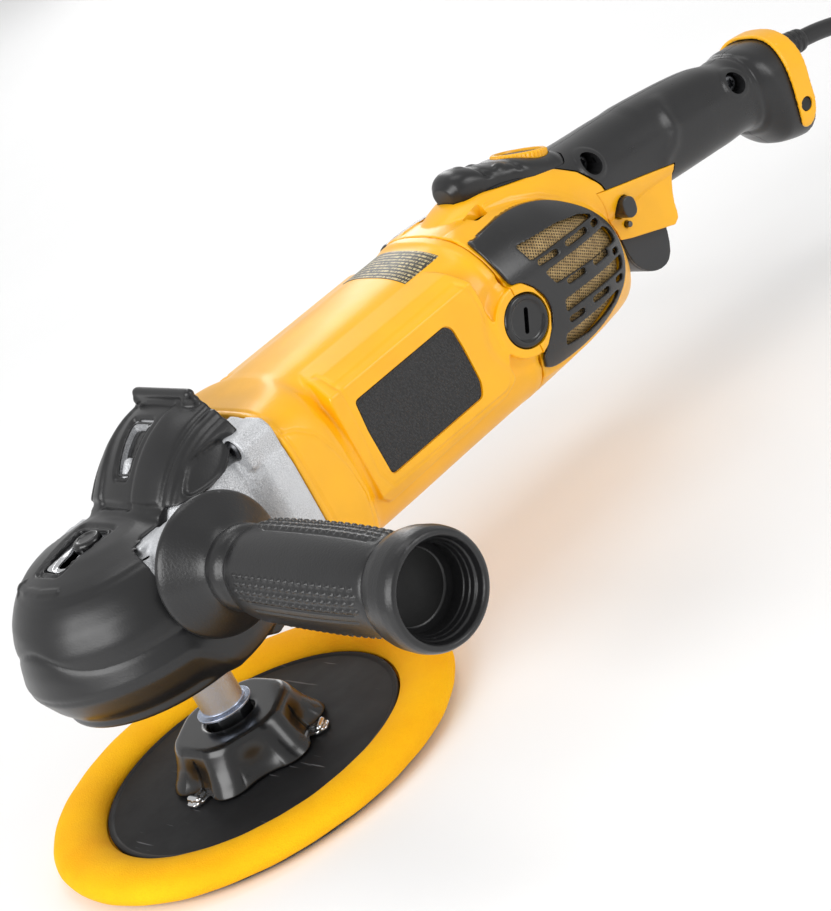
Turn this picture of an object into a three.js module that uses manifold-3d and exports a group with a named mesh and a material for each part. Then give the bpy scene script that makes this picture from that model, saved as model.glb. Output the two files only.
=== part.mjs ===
// Corded rotary polisher on a seven inch foam backing pad.
// Millimetres, +Z up along the spindle. The origin is the centre of the pad's working face.
// The gear head points along -Y, the rear handle and the cord along +Y, the side handle along +X.
import * as THREE from "three";
import { mergeVertices } from "three/addons/utils/BufferGeometryUtils.js";
import Module from "manifold-3d";

const wasm = await Module();
wasm.setup();

// ---- driving dimensions -------------------------------------------------------------
const SMALLEST_DETAIL = 0.03; // slivers below this size are smoothed away
const GAP = 0.3; // clearance between touching pieces
const PAD_RADIUS = 90;
const PAD_THICKNESS = 13;
const DISC_RADIUS = 65.5;
const DISC_TOP = 7.5;
const HUB_TOP = 26.8;
const NUT_SEAT = 22; // floor of the round recess in the hub that holds the nut
const HUB_BORE = 6.6;
const HUB_TURN = -0.96; // radians, direction of one of the hub's six lobes
const SPINDLE_RADIUS = 6;
const SPINDLE_TOP = 107;
const NUT_RADIUS = 9.6;
const NUT_TOP = 30.3;
const SLEEVE_BOTTOM = 30.6;
const SLEEVE_TOP = 62;
const SPINDLE_BEARING = { radius: 20.4, low: 70, high: 84 };
const PLATE_RADIUS = 39.4; // bearing plate that closes the underside of the gear case
const MOTOR_HEIGHT = 92; // motor axis above the pad face
const MOTOR_TEETH = 9;
const COUNTER_TEETH = 27;
const GEAR_MODULE = 1.5;
const BEVEL_PINION_TEETH = 8;
const BEVEL_GEAR_TEETH = 24;
const BEVEL_PITCH = 32 / 3; // pitch radius of the bevel pinion at its large end
const BEVEL_REACH = 32; // pitch radius of the bevel gear, and distance of the pinion's end
const MESH_CLEARANCE = 0.4;
const COUNTER_HEIGHT = MOTOR_HEIGHT + GEAR_MODULE * (MOTOR_TEETH + COUNTER_TEETH) / 2 + MESH_CLEARANCE;
const HEAD_AXIS_Y = -9; // centre of the round nose
const BOOT_WALL = 3.2;
const LOCK_Y = -14; // the spindle lock button stands behind the nose's centre
const LOCK_TRAVEL = 3;
const LOCK_HEAD_RADIUS = 6;
const LOCK_HEAD_BOTTOM = 119.8;
const CASE_REAR = 57;
const SEAM = 183; // joint between motor housing and rear cap
const HOUSING_WALL = 3;
const HANDLE_WALL = 3;
const BRUSH_RADIUS = 11.5;
const SHAFT_RADIUS = 5; // motor shaft
const COUNTER_SHAFT_RADIUS = 4;
const MOTOR_FRAME_RADIUS = 36.4; // round room for the motor inside the housing
const SCREW_HOLE = 2.3;
const SIDE_HANDLE_Y = 3;
const SIDE_HANDLE_Z = 103;
const BOSS_FACE = 48.6; // the side handle screws against this face on either side
const SIDE_HANDLE_START = 51.8;
const SIDE_HANDLE_END = 193.2;
const TRIGGER_PIVOT_Y = 270;
const TRIGGER_PIVOT_Z = 77;
const LOCK_ON_Y = 270;
const LOCK_ON_Z = 92;
const DIAL_Y = 247;
const DIAL_Z = 132.6;
const DIAL_TILT = 0.37; // radians, the dial leans towards the rear
const DIAL_RADIUS = 12.5;
const CORD_RADIUS = 4.1;
const CORD_PITCH = 8.4; // distance between neighbouring turns
const CORD_SLOPE = 0.19; // radians, the cord leaves the handle pointing down by this much
const RELIEF_START_Y = 386;
const RELIEF_START_Z = 96;
const RELIEF_LENGTH = 30;
// Cut away behind the leaning rear face of the handle, as an outline in the YZ plane.
const HANDLE_END = [[386.5, 55], [396.6, 110], [430, 110], [430, 55]];
const COIL_X = -42.6;
const COIL_Y = 625;
const COIL_MID_RADIUS = 50;
const COIL_COLUMNS = 4;
const COIL_LAYERS = 2;
const PAD_ROUND = 32; // segments of the pad
const ROUND = 24; // segments of large turned pieces
const SMALL_ROUND = 12; // segments of small turned pieces
const SIDES = 20; // points round a lofted section

// ---- materials ----------------------------------------------------------------------
function finish(color, roughness, metalness = 0) {
  return new THREE.MeshStandardMaterial({ color, roughness, metalness });
}
const yellowPlastic = finish(0xf7b21c, 0.45);
const blackRubber = finish(0x2b2c2e, 0.7);
const blackPlastic = finish(0x1f2022, 0.5);
const glossBlack = finish(0x141414, 0.15);
const greyPlastic = finish(0x4a4b4f, 0.5);
const castAluminium = finish(0xb9babb, 0.5, 0.8);
const steel = finish(0xc2c4c7, 0.25, 1);
const darkSteel = finish(0x3a3a3c, 0.4, 0.9);
const copper = finish(0xb5693a, 0.35, 1);
const carbon = finish(0x2a2a2a, 0.8);
const bronzeMesh = finish(0xa98f5c, 0.5, 0.6);
const yellowFoam = finish(0xf9b52a, 0.8);
const cordRubber = finish(0x1b1b1b, 0.6);

// ---- solids -------------------------------------------------------------------------
// A welded copy of a closed geometry with its faces pointing outwards.
function welded(geometry) {
  const bare = geometry.clone();
  bare.deleteAttribute("normal");
  bare.deleteAttribute("uv");
  const merged = mergeVertices(bare, 1e-4);
  const points = merged.attributes.position;
  const source = merged.index.array;
  const kept = [];
  let volume = 0;
  for (let i = 0; i < source.length; i += 3) {
    const [a, b, c] = [source[i], source[i + 1], source[i + 2]];
    if (a === b || b === c || a === c) continue;
    kept.push(a, b, c);
    const [u, v, w] = [a, b, c].map((k) => new THREE.Vector3().fromBufferAttribute(points, k));
    volume += u.dot(v.cross(w));
  }
  if (volume < 0) {
    for (let i = 0; i < kept.length; i += 3) [kept[i + 1], kept[i + 2]] = [kept[i + 2], kept[i + 1]];
  }
  merged.setIndex(kept);
  return merged;
}

function solid(geometry) {
  const closed = welded(geometry);
  const vertProperties = new Float32Array(closed.attributes.position.array);
  const triVerts = new Uint32Array(closed.index.array);
  return new wasm.Manifold(new wasm.Mesh({ numProp: 3, vertProperties, triVerts }));
}

// The largest connected body of a solid, so that a cut leaves no crumbs.
function mainBody(shape) {
  return shape.decompose().reduce((best, body) => (body.volume() > best.volume() ? body : best));
}

function geometryOf(shape) {
  const mesh = mainBody(shape.asOriginal().simplify(SMALLEST_DETAIL)).getMesh();
  const geometry = new THREE.BufferGeometry();
  geometry.setAttribute("position", new THREE.BufferAttribute(new Float32Array(mesh.vertProperties), 3));
  geometry.setIndex(Array.from(mesh.triVerts));
  geometry.computeVertexNormals();
  return geometry;
}

function moved(geometry, x, y, z, rx = 0, ry = 0, rz = 0) {
  const place = new THREE.Matrix4().makeRotationFromEuler(new THREE.Euler(rx, ry, rz));
  place.setPosition(x, y, z);
  return geometry.clone().applyMatrix4(place);
}

// A turned shape about Y. The profile holds [radius, height] pairs.
function turned(profile, segments = ROUND) {
  return new THREE.LatheGeometry(profile.map(([r, h]) => new THREE.Vector2(r, h)), segments);
}

// A plain ring or disc about Y between two heights.
function ringBetween(inner, outer, low, high, segments = ROUND) {
  if (inner === 0) return turned([[0, low], [outer, low], [outer, high], [0, high]], segments);
  const profile = [[inner, low], [outer, low], [outer, high], [inner, high], [inner, low]];
  return turned(profile, segments);
}

const alongX = (geometry, x, y, z) => moved(geometry, x, y, z, 0, 0, -Math.PI / 2);
const alongZ = (geometry, x, y, z) => moved(geometry, x, y, z, Math.PI / 2, 0, 0);

// A slab with an outline in the YZ plane between two values of X.
function slab(outline, fromX, toX) {
  const shape = new THREE.Shape(outline.map(([y, z]) => new THREE.Vector2(y, z)));
  const settings = { depth: toX - fromX, bevelEnabled: false, curveSegments: 8 };
  const geometry = new THREE.ExtrudeGeometry(shape, settings);
  const axes = new THREE.Matrix4().makeBasis(
    new THREE.Vector3(0, 1, 0), new THREE.Vector3(0, 0, 1), new THREE.Vector3(1, 0, 0));
  axes.setPosition(fromX, 0, 0);
  return geometry.applyMatrix4(axes);
}

function block(x0, x1, y0, y1, z0, z1) {
  return moved(new THREE.BoxGeometry(x1 - x0, y1 - y0, z1 - z0), (x0 + x1) / 2, (y0 + y1) / 2, (z0 + z1) / 2);
}

// A body through rings of points, closed by a fan at both ends.
function skinned(rings) {
  const count = rings[0].length;
  const centre = (ring) => ring.reduce((sum, p) => sum.add(p), new THREE.Vector3()).divideScalar(count);
  const points = [...rings.flat(), centre(rings[0]), centre(rings.at(-1))];
  const index = [];
  for (let i = 0; i < count; i++) {
    const j = (i + 1) % count;
    for (let k = 0; k + 1 < rings.length; k++) {
      const [low, high] = [k * count, (k + 1) * count];
      index.push(low + i, low + j, high + j, low + i, high + j, high + i);
    }
    const last = (rings.length - 1) * count;
    index.push(points.length - 2, j, i, points.length - 1, last + i, last + j);
  }
  const geometry = new THREE.BufferGeometry().setFromPoints(points);
  geometry.setIndex(index);
  return geometry;
}

// A rounded section at one station: half width w, reach up and down from height z, squareness p.
function section({ y, z, w, up, down, p }, grow, sides) {
  const ring = [];
  for (let i = 0; i < sides; i++) {
    const a = (i + 0.5) / sides * 2 * Math.PI;
    const [c, s] = [Math.cos(a), Math.sin(a)];
    const reach = (s > 0 ? up : down) + grow;
    const x = (w + grow) * Math.sign(c) * Math.abs(c) ** (2 / p);
    ring.push(new THREE.Vector3(x, y, z + reach * Math.sign(s) * Math.abs(s) ** (2 / p)));
  }
  return ring;
}

function loft(stations, grow = 0, sides = SIDES) {
  const last = stations.length - 1;
  const rings = stations.map((station, k) => {
    const shift = k === 0 ? -grow : k === last ? grow : 0;
    return section({ ...station, y: station.y + shift }, grow, sides);
  });
  return skinned(rings);
}

// ---- outer forms shared by neighbouring pieces --------------------------------------
const NOSE = [[0, 61], [42, 61], [47, 63], [50, 71], [51.5, 82], [51, 91], [49.5, 98], [46, 105],
  [40, 112], [30, 118], [18, 121.5], [0, 123]];
const LOBE = [
  { y: -8, z: 92, w: 34, up: 24, down: 30, p: 2.6 },
  { y: 2, z: 92, w: 38, up: 30, down: 31, p: 2.6 },
  { y: 8, z: 92, w: 40, up: 37, down: 32, p: 2.7 },
  { y: 17, z: 92, w: 41, up: 46, down: 33, p: 2.7 },
  { y: 27, z: 92, w: 41.5, up: 52.5, down: 34, p: 2.7 },
  { y: 38, z: 92, w: 42, up: 56, down: 35, p: 2.7 },
  { y: 50, z: 92, w: 42.5, up: 57, down: 36, p: 2.7 },
];
const FLANGE = [
  { y: 42, z: 91, w: 43.5, up: 39.5, down: 40, p: 5 },
  { y: 45, z: 91, w: 45.2, up: 41, down: 41.5, p: 5 },
  { y: CASE_REAR, z: 91, w: 45.2, up: 41, down: 41.5, p: 5 },
];
const MOTOR_BODY = [
  { y: CASE_REAR + GAP, z: 91, w: 45.2, up: 41, down: 41.5, p: 5 },
  { y: 64, z: 91, w: 44.6, up: 41, down: 41.5, p: 4 },
  { y: 79, z: 91.5, w: 43.6, up: 41, down: 41.5, p: 3.2 },
  { y: 83, z: MOTOR_HEIGHT, w: 41.6, up: 40.5, down: 41, p: 2.6 },
  { y: 168, z: MOTOR_HEIGHT, w: 41.6, up: 40.5, down: 40, p: 2.6 },
  { y: SEAM - 4, z: MOTOR_HEIGHT, w: 42.6, up: 41.5, down: 40, p: 2.6 },
  { y: SEAM, z: MOTOR_HEIGHT, w: 42.6, up: 41.5, down: 40, p: 2.6 },
];
const REAR_BODY = [
  { y: SEAM + GAP, z: MOTOR_HEIGHT, w: 42.6, up: 41.5, down: 40, p: 2.6 },
  { y: 200, z: MOTOR_HEIGHT, w: 42.6, up: 40.5, down: 39.5, p: 2.6 },
  { y: 220, z: 91, w: 41, up: 38, down: 38.5, p: 2.5 },
  { y: 238, z: 90, w: 36.5, up: 31, down: 37.5, p: 2.4 },
  { y: 252, z: 86, w: 29, up: 24, down: 33, p: 2.3 },
  { y: 260, z: 83, w: 20, up: 17, down: 27, p: 2.2 },
  { y: 265.5, z: 80, w: 11, up: 10, down: 17, p: 2 },
];
const HANDLE_BODY = [
  { y: 188, z: 118, w: 14, up: 14.5, down: 9, p: 2.4 },
  { y: 197, z: 118, w: 18, up: 17.5, down: 10, p: 2.4 },
  { y: 210, z: 116, w: 21, up: 21.5, down: 14, p: 2.4 },
  { y: 235, z: 110, w: 23.5, up: 24.5, down: 16, p: 2.4 },
  { y: 262, z: 105, w: 22.5, up: 21.5, down: 20, p: 2.4 },
  { y: 290, z: 103, w: 20, up: 20.5, down: 20.5, p: 2.3 },
  { y: 318, z: 99.5, w: 19.2, up: 20, down: 20, p: 2.3 },
  { y: 345, z: 95.5, w: 18.2, up: 19, down: 19, p: 2.3 },
  { y: 360, z: 92.5, w: 18, up: 17.5, down: 17.5, p: 2.3 },
  { y: 367, z: 89.5, w: 19.3, up: 19.8, down: 20.5, p: 2.4 },
  { y: 375, z: 85.5, w: 22, up: 23.5, down: 25.5, p: 2.5 },
  { y: 389, z: 82, w: 22.5, up: 25, down: 26, p: 2.6 },
  { y: 398, z: 81, w: 20.5, up: 24, down: 24, p: 2.6 },
];

// ---- spindle and pad, turned about the spindle ---------------------------------------
function padFoam() {
  const bottom = 1.6 + GAP;
  const profile = [[0, bottom], [84, bottom], [88, 3.4], [PAD_RADIUS, 6.6], [88.6, 10.2], [84.5, 12.4],
    [79, PAD_THICKNESS], [73, 12.4], [69.3, 10.4], [66.6, DISC_TOP], [66.2, 4.2], [0, 4.2]];
  return turned(profile, PAD_ROUND);
}

function clampHub() {
  const rings = [];
  for (const [height, radius, lobe] of [[DISC_TOP + GAP, 31, 0.05], [10.5, 30, 0.05], [15, 27.6, 0.04],
    [24.5, 25, 0.015], [HUB_TOP, 23.4, 0.01]]) {
    const ring = [];
    for (let i = 0; i < 24; i++) {
      const a = i / 24 * 2 * Math.PI;
      const r = radius * (1 + lobe * Math.cos(6 * (a - HUB_TURN)));
      ring.push(new THREE.Vector3(r * Math.cos(a), height, -r * Math.sin(a)));
    }
    rings.push(ring);
  }
  const bored = solid(skinned(rings)).subtract(solid(ringBetween(0, HUB_BORE, 0, 30, SMALL_ROUND)));
  return geometryOf(bored.subtract(solid(ringBetween(0, NUT_RADIUS + 0.9, NUT_SEAT, 30, ROUND))));
}

function padNut() {
  const hexagon = solid(ringBetween(0, NUT_RADIUS, NUT_SEAT + GAP, NUT_TOP, 6));
  return geometryOf(hexagon.subtract(solid(ringBetween(0, HUB_BORE, 0, 40, SMALL_ROUND))));
}

function spindleSleeve() {
  const bore = SPINDLE_RADIUS + GAP;
  const profile = [[bore, SLEEVE_BOTTOM], [11.8, SLEEVE_BOTTOM], [11.8, 31.8], [9.2, 32], [9.2, 55],
    [10.5, 55.4], [10.5, SLEEVE_TOP], [bore, SLEEVE_TOP], [bore, SLEEVE_BOTTOM]];
  return turned(profile, 28);
}

function bevelGear() {
  const bore = SPINDLE_RADIUS + GAP;
  const apex = COUNTER_HEIGHT;
  const slope = BEVEL_PITCH / BEVEL_REACH;
  const count = 2 * BEVEL_GEAR_TEETH;
  // Each row is a radius, a height and how far alternate points stand up or down.
  const rows = [[bore, 99, 0], [29, 99, 0], [BEVEL_REACH + 0.6, 104, 0],
    [BEVEL_REACH + 0.4, apex - slope * BEVEL_REACH - 1.2, 0.9],
    [22.5, apex - slope * 22.5 - 1.2, 0.65], [20.5, 104.5, 0], [bore, 104.5, 0]];
  const points = [];
  for (const [r, z, tooth] of rows) {
    for (let i = 0; i < count; i++) {
      const a = (i + 1) / count * 2 * Math.PI;
      points.push(new THREE.Vector3(r * Math.cos(a), z + (i % 2 ? tooth : -tooth), -r * Math.sin(a)));
    }
  }
  const index = [];
  for (let k = 0; k < rows.length; k++) {
    const [low, high] = [k * count, ((k + 1) % rows.length) * count];
    for (let i = 0; i < count; i++) {
      const j = (i + 1) % count;
      index.push(low + i, low + j, high + j, low + i, high + j, high + i);
    }
  }
  const geometry = new THREE.BufferGeometry().setFromPoints(points);
  geometry.setIndex(index);
  return geometry;
}

// A sealed ball bearing as one ring.
function bearing(inner, outer, low, high) {
  return ringBetween(inner, outer, low, high, SMALL_ROUND + 4);
}

// ---- gear train along the motor axis -------------------------------------------------
function gearOutline(teeth, module, bore, phase) {
  const pitch = teeth * module / 2;
  const [tip, root] = [pitch + module * 0.75, pitch - module];
  const shape = new THREE.Shape();
  for (let i = 0; i < teeth; i++) {
    const middle = phase + i / teeth * 2 * Math.PI;
    const step = Math.PI / teeth;
    for (const [offset, radius] of [[-0.62, root], [-0.24, tip], [0.24, tip], [0.62, root]]) {
      const a = middle + offset * step;
      const method = i === 0 && offset === -0.62 ? "moveTo" : "lineTo";
      shape[method](radius * Math.cos(a), radius * Math.sin(a));
    }
  }
  const hole = new THREE.Path();
  hole.absarc(0, 0, bore, 0, 2 * Math.PI, true);
  shape.holes.push(hole);
  return shape;
}

// Spur gear with its axis along Y, lying between two values of Y.
function spurGear(teeth, bore, phase, fromY, toY) {
  const outline = gearOutline(teeth, GEAR_MODULE, bore, phase);
  const settings = { depth: toY - fromY, bevelEnabled: false, curveSegments: 6 };
  const axes = new THREE.Matrix4().makeBasis(
    new THREE.Vector3(0, 0, 1), new THREE.Vector3(1, 0, 0), new THREE.Vector3(0, 1, 0));
  axes.setPosition(0, fromY, 0);
  return new THREE.ExtrudeGeometry(outline, settings).applyMatrix4(axes);
}

function bevelPinion() {
  const ring = (y) => {
    const scale = y / BEVEL_REACH;
    const points = [];
    for (let i = 0; i < 2 * BEVEL_PINION_TEETH; i++) {
      const a = i / (2 * BEVEL_PINION_TEETH) * 2 * Math.PI;
      const r = (BEVEL_PITCH - 0.7 + (i % 2 ? -0.9 : 0.9)) * scale;
      points.push(new THREE.Vector3(r * Math.sin(a), y, r * Math.cos(a)));
    }
    return points;
  };
  const cone = solid(skinned([ring(23), ring(BEVEL_REACH)]));
  return geometryOf(cone.subtract(solid(ringBetween(0, COUNTER_SHAFT_RADIUS + GAP, 0, 60, SMALL_ROUND))));
}

function armatureShaft() {
  const profile = [[0, 42], [3.5, 42], [3.5, 49.9], [SHAFT_RADIUS, 50.2], [SHAFT_RADIUS, 212], [0, 212]];
  return turned(profile, SMALL_ROUND);
}

// A straight cooling fan: a back plate with blades, its axis along Y.
function fan() {
  const blades = 9;
  const bore = SHAFT_RADIUS + GAP;
  let wheel = solid(ringBetween(bore, 35, 74, 76.5, ROUND - 4));
  wheel = wheel.add(solid(ringBetween(bore, 10, 66, 75, SMALL_ROUND)));
  const blade = moved(new THREE.BoxGeometry(18, 9, 1.4), 24, 70.5, 0);
  for (let i = 0; i < blades; i++) {
    wheel = wheel.add(solid(moved(blade, 0, 0, 0, 0, i / blades * 2 * Math.PI, 0)));
  }
  return geometryOf(wheel);
}

// Stack of laminations with winding slots.
function armatureCore() {
  const slots = 12;
  const shape = new THREE.Shape();
  for (let i = 0; i < slots; i++) {
    const middle = i / slots * 2 * Math.PI;
    const half = Math.PI / slots;
    for (const [offset, radius] of [[-0.75, 24], [0, 24.5], [0.75, 24], [0.88, 17]]) {
      const a = middle + offset * half;
      const method = i === 0 && offset === -0.75 ? "moveTo" : "lineTo";
      shape[method](radius * Math.cos(a), radius * Math.sin(a));
    }
  }
  const hole = new THREE.Path();
  hole.absarc(0, 0, SHAFT_RADIUS + GAP, 0, 2 * Math.PI, true);
  shape.holes.push(hole);
  const settings = { depth: 56, bevelEnabled: false, curveSegments: 6 };
  const geometry = new THREE.ExtrudeGeometry(shape, settings);
  return moved(geometry, 0, 146, 0, Math.PI / 2, 0, 0);
}

function fieldStator() {
  const outer = solid(ringBetween(27, 36, 92, 144, ROUND - 4));
  const flats = solid(block(-40, 40, 80, 160, -33, 33));
  return geometryOf(outer.intersect(flats));
}

// ---- gear case and boot ---------------------------------------------------------------
function headForm(grow, tail = []) {
  const nose = NOSE.map(([r, z], i) => {
    if (i === 0 || i === NOSE.length - 1) return [0, z + (i ? grow : -grow)];
    const lift = (z - 92) / 31;
    return [r + grow * (i < 2 ? 1 : 0.9), z + grow * Math.max(-1, Math.min(1, lift))];
  });
  const dome = solid(alongZ(turned(nose, ROUND), 0, HEAD_AXIS_Y, 0));
  return dome.add(solid(loft([...LOBE, ...tail], grow)));
}

const SIDE_OPENING = [[-16, 108], [6, 121], [30, 129], [70, 139], [70, 40], [26, 40], [22, 66], [13, 78],
  [0, 84], [-16, 92]];

function gearCaseBoot() {
  let boot = headForm(0).subtract(headForm(-BOOT_WALL, [{ ...LOBE.at(-1), y: 64 }]));
  for (const y of [HEAD_AXIS_Y, 0]) {
    boot = boot.subtract(solid(alongZ(ringBetween(0, 40.3, 50, 66, ROUND), 0, y, 0)));
  }
  boot = boot.subtract(solid(block(-60, 60, 48, 80, 40, 170)));
  for (const side of [-1, 1]) {
    const [near, far] = side < 0 ? [-70, -26] : [26, 70];
    boot = boot.subtract(solid(slab(SIDE_OPENING, near, far)));
    boot = boot.subtract(solid(alongX(ringBetween(0, 19, near, far, 20), 0, SIDE_HANDLE_Y, SIDE_HANDLE_Z)));
  }
  boot = boot.subtract(solid(block(-6.5, 6.5, 13, 34, 120, 170)));
  boot = boot.subtract(solid(block(-11, 11, -34, -5, 110, 150)));
  boot = boot.add(solid(block(-18, 18, 43, 47.5, 146, 150.5)));
  return geometryOf(boot);
}

function gearCase() {
  let body = headForm(-BOOT_WALL - GAP);
  const tail = [...LOBE.slice(3), { ...LOBE.at(-1), y: CASE_REAR, w: 41, up: 41 }];
  body = body.add(solid(loft(tail, -BOOT_WALL - GAP)));
  body = body.add(solid(loft(FLANGE)));
  for (const [near, far] of [[30, BOSS_FACE], [-BOSS_FACE, -30]]) {
    body = body.add(solid(alongX(ringBetween(0, 17, near, far, 20), 0, SIDE_HANDLE_Y, SIDE_HANDLE_Z)));
  }
  const seat = SPINDLE_BEARING.radius + 0.4;
  const lockFloor = LOCK_HEAD_BOTTOM - LOCK_TRAVEL - 0.6;
  const spindleRoom = [[0, 50], [PLATE_RADIUS + 0.4, 50], [PLATE_RADIUS + 0.4, 66], [seat, 66], [seat, 96],
    [34.5, 96], [34.5, 114.5], [0, 114.5]];
  const bores = [
    alongZ(turned(spindleRoom, ROUND), 0, 0, 0),
    // Ring-shaped hollow round the bearing seat, closed from below by the bearing plate.
    alongZ(ringBetween(seat + 3.6, 37.5, 60, 92, ROUND), 0, 0, 0),
    moved(ringBetween(0, 12, 8, 42, 16), 0, 0, COUNTER_HEIGHT),
    moved(ringBetween(0, 23, 39.5, 70, 20), 0, 0, COUNTER_HEIGHT),
    moved(ringBetween(0, 17, 39.5, 70, 16), 0, 0, MOTOR_HEIGHT),
    alongZ(ringBetween(0, 3, 100, 130, 12), 0, LOCK_Y, 0),
    alongZ(ringBetween(0, LOCK_HEAD_RADIUS + 0.6, lockFloor, 130, 16), 0, LOCK_Y, 0),
    alongX(ringBetween(0, 5.2, 36, 60, 12), 0, SIDE_HANDLE_Y, SIDE_HANDLE_Z),
    alongX(ringBetween(0, 5.2, -60, -36, 12), 0, SIDE_HANDLE_Y, SIDE_HANDLE_Z),
  ];
  for (const bore of bores) body = body.subtract(solid(bore));
  for (const [x, z] of screwPlaces()) {
    body = body.subtract(solid(moved(ringBetween(0, SCREW_HOLE, 30, 70, 8), x, 0, z)));
    body = body.subtract(solid(moved(ringBetween(0, 4.4, 20, 44, 8), x, 0, z)));
  }
  // The rear face is flat and carries the gear plate in a shallow seat.
  body = body.subtract(solid(loft([{ y: 50, z: 92, w: 38, up: 36, down: 36, p: 4 },
    { y: 62, z: 92, w: 38, up: 36, down: 36, p: 4 }])));
  return geometryOf(body);
}

function screwPlaces() {
  return [[36.5, 127], [-36.5, 127], [36.5, 55], [-36.5, 55]];
}

function caseScrew() {
  return turned([[0, 40.5], [3.6, 40.5], [3.6, 43.7], [2, 43.7], [2, 68], [0, 68]], 10);
}

function gearPlate() {
  const outline = loft([{ y: 50.3, z: 92, w: 37.6, up: 35.6, down: 35.6, p: 4 },
    { y: 56.5, z: 92, w: 37.6, up: 35.6, down: 35.6, p: 4 }], 0, 28);
  const cuts = [moved(ringBetween(0, 13.3, 40, 70, 20), 0, 0, MOTOR_HEIGHT),
    moved(ringBetween(0, 5, 40, 70, 12), 0, 0, COUNTER_HEIGHT)];
  let plate = solid(outline);
  for (const cut of cuts) plate = plate.subtract(solid(cut));
  return geometryOf(plate);
}

function bearingPlate() {
  const profile = [[11.2, 62.6], [11.2, 58.4], [20, 57.6], [37, 58.8], [PLATE_RADIUS, 60], [PLATE_RADIUS, 64],
    [11.2, 64], [11.2, 62.6]];
  return turned(profile, ROUND);
}

function spindleLockButton() {
  const head = LOCK_HEAD_RADIUS;
  const profile = [[0, 107.6], [2.4, 107.6], [2.6, LOCK_HEAD_BOTTOM], [head, LOCK_HEAD_BOTTOM + 0.5],
    [head, 123.4], [head - 1.2, 124.4], [0, 124.6]];
  return turned(profile, SMALL_ROUND);
}

// ---- motor housing, rear cap and vents -------------------------------------------------
function motorHousing() {
  let body = solid(loft(MOTOR_BODY));
  const inner = MOTOR_BODY.map((s) => ({ ...s, p: Math.min(s.p, 3.4) }));
  body = body.subtract(solid(loft(inner, -HOUSING_WALL)));
  body = body.subtract(solid(block(-34, 34, 50, 66, 60, 124)));
  body = body.subtract(solid(ringAbout(MOTOR_FRAME_RADIUS, 172, 190)));
  body = body.add(panels());
  for (const [x, z] of screwPlaces()) {
    const inwards = z < MOTOR_HEIGHT ? z + 1 : z - 1;
    body = body.add(solid(moved(ringBetween(0, 5, CASE_REAR + GAP, 72, 8), x * 0.98, 0, inwards)));
    body = body.subtract(solid(moved(ringBetween(0, SCREW_HOLE, 50, 69, 8), x, 0, z)));
  }
  body = body.intersect(solid(block(-60, 60, CASE_REAR + GAP, SEAM, 0, 160)));
  body = body.subtract(brushBore());
  body = body.subtract(labelRecess());
  return geometryOf(body);
}

function ringAbout(radius, fromY, toY) {
  return moved(ringBetween(0, radius, fromY, toY, ROUND), 0, 0, MOTOR_HEIGHT);
}

const PANEL = [[84, 72], [90, 68], [160, 71], [166, 76], [169, 90], [167, 121], [160, 125], [92, 127],
  [84, 118]];

// Raised flat panels on both sides of the housing.
function panels() {
  return solid(slab(PANEL, -43.2, 43.2)).subtract(solid(loft(MOTOR_BODY, -1)));
}

const LABEL = { y0: 97, y1: 150, z0: 78.5, z1: 112.5, x: 43.2, depth: 1 };

function labelRecess() {
  const { y0, y1, z0, z1, x, depth } = LABEL;
  const left = solid(block(x - depth, x + 2, y0, y1, z0, z1));
  return left.add(solid(block(-x - 2, -x + depth, y0, y1, z0, z1)));
}

function sideLabel(side) {
  const { y0, y1, z0, z1, x, depth } = LABEL;
  const [low, high] = [x - depth + GAP / 2, x - 0.1];
  const limits = side > 0 ? [low, high] : [-high, -low];
  return block(limits[0], limits[1], y0 + GAP, y1 - GAP, z0 + GAP, z1 - GAP);
}

function brushBore() {
  return solid(alongX(ringBetween(0, BRUSH_RADIUS + GAP, -60, 60, 20), 0, SEAM, MOTOR_HEIGHT));
}

const VENT = [[184, 127], [205, 128.5], [226, 124], [242, 109], [250.5, 93], [246, 77], [234, 68],
  [215, 63.5], [191, 66], [181, 70], [186, 78], [193, 84], [196, 92], [193, 100], [187, 106]];

function ventOutline(inset) {
  const middle = [214, 95];
  return VENT.map(([y, z]) => {
    const [dy, dz] = [y - middle[0], z - middle[1]];
    const scale = 1 - inset / Math.hypot(dy, dz);
    return [middle[0] + dy * scale, middle[1] + dz * scale];
  });
}

// Where the rear cap rises round the front of the handle, as an outline in the YZ plane.
const SADDLE = [[180, 84], [180, 142], [205, 138], [219, 133.5], [232, 130], [246, 127], [256, 118.5],
  [262.5, 108], [264.3, 100], [264.5, 84]];

function saddleZone(grow) {
  const outline = SADDLE.map(([y, z]) => [y < 200 ? y : y + grow, z > 90 ? z + grow : z]);
  return solid(slab(outline, -40, 40));
}

function saddle() {
  let body = solid(loft(HANDLE_BODY)).intersect(saddleZone(0)).subtract(ventZone());
  body = body.subtract(dialSurroundForm(GAP)).subtract(guardZone(GAP)).subtract(dialRoom());
  return body.subtract(solid(block(-60, 60, 180, SEAM + 6, 0, 200)));
}

// The space that both vent covers take, with a clearance.
function ventZone() {
  return solid(loft(REAR_BODY, 2.6)).intersect(solid(slab(ventOutline(-0.6), -60, 60)));
}

function rearCap() {
  let body = solid(loft(REAR_BODY)).add(saddle());
  body = body.subtract(solid(loft(REAR_BODY.slice(0, 6), -HOUSING_WALL)));
  body = body.subtract(solid(ringAbout(MOTOR_FRAME_RADIUS, 170, 200)));
  body = body.subtract(brushBore());
  for (const [near, far] of [[20, 60], [-60, -20]]) {
    body = body.subtract(solid(slab(ventOutline(7), near, far)));
  }
  // Passage for the wires into the handle.
  body = body.subtract(solid(moved(ringBetween(0, 7, 230, 290, 12), 0, 0, 92)));
  return geometryOf(body);
}

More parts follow.
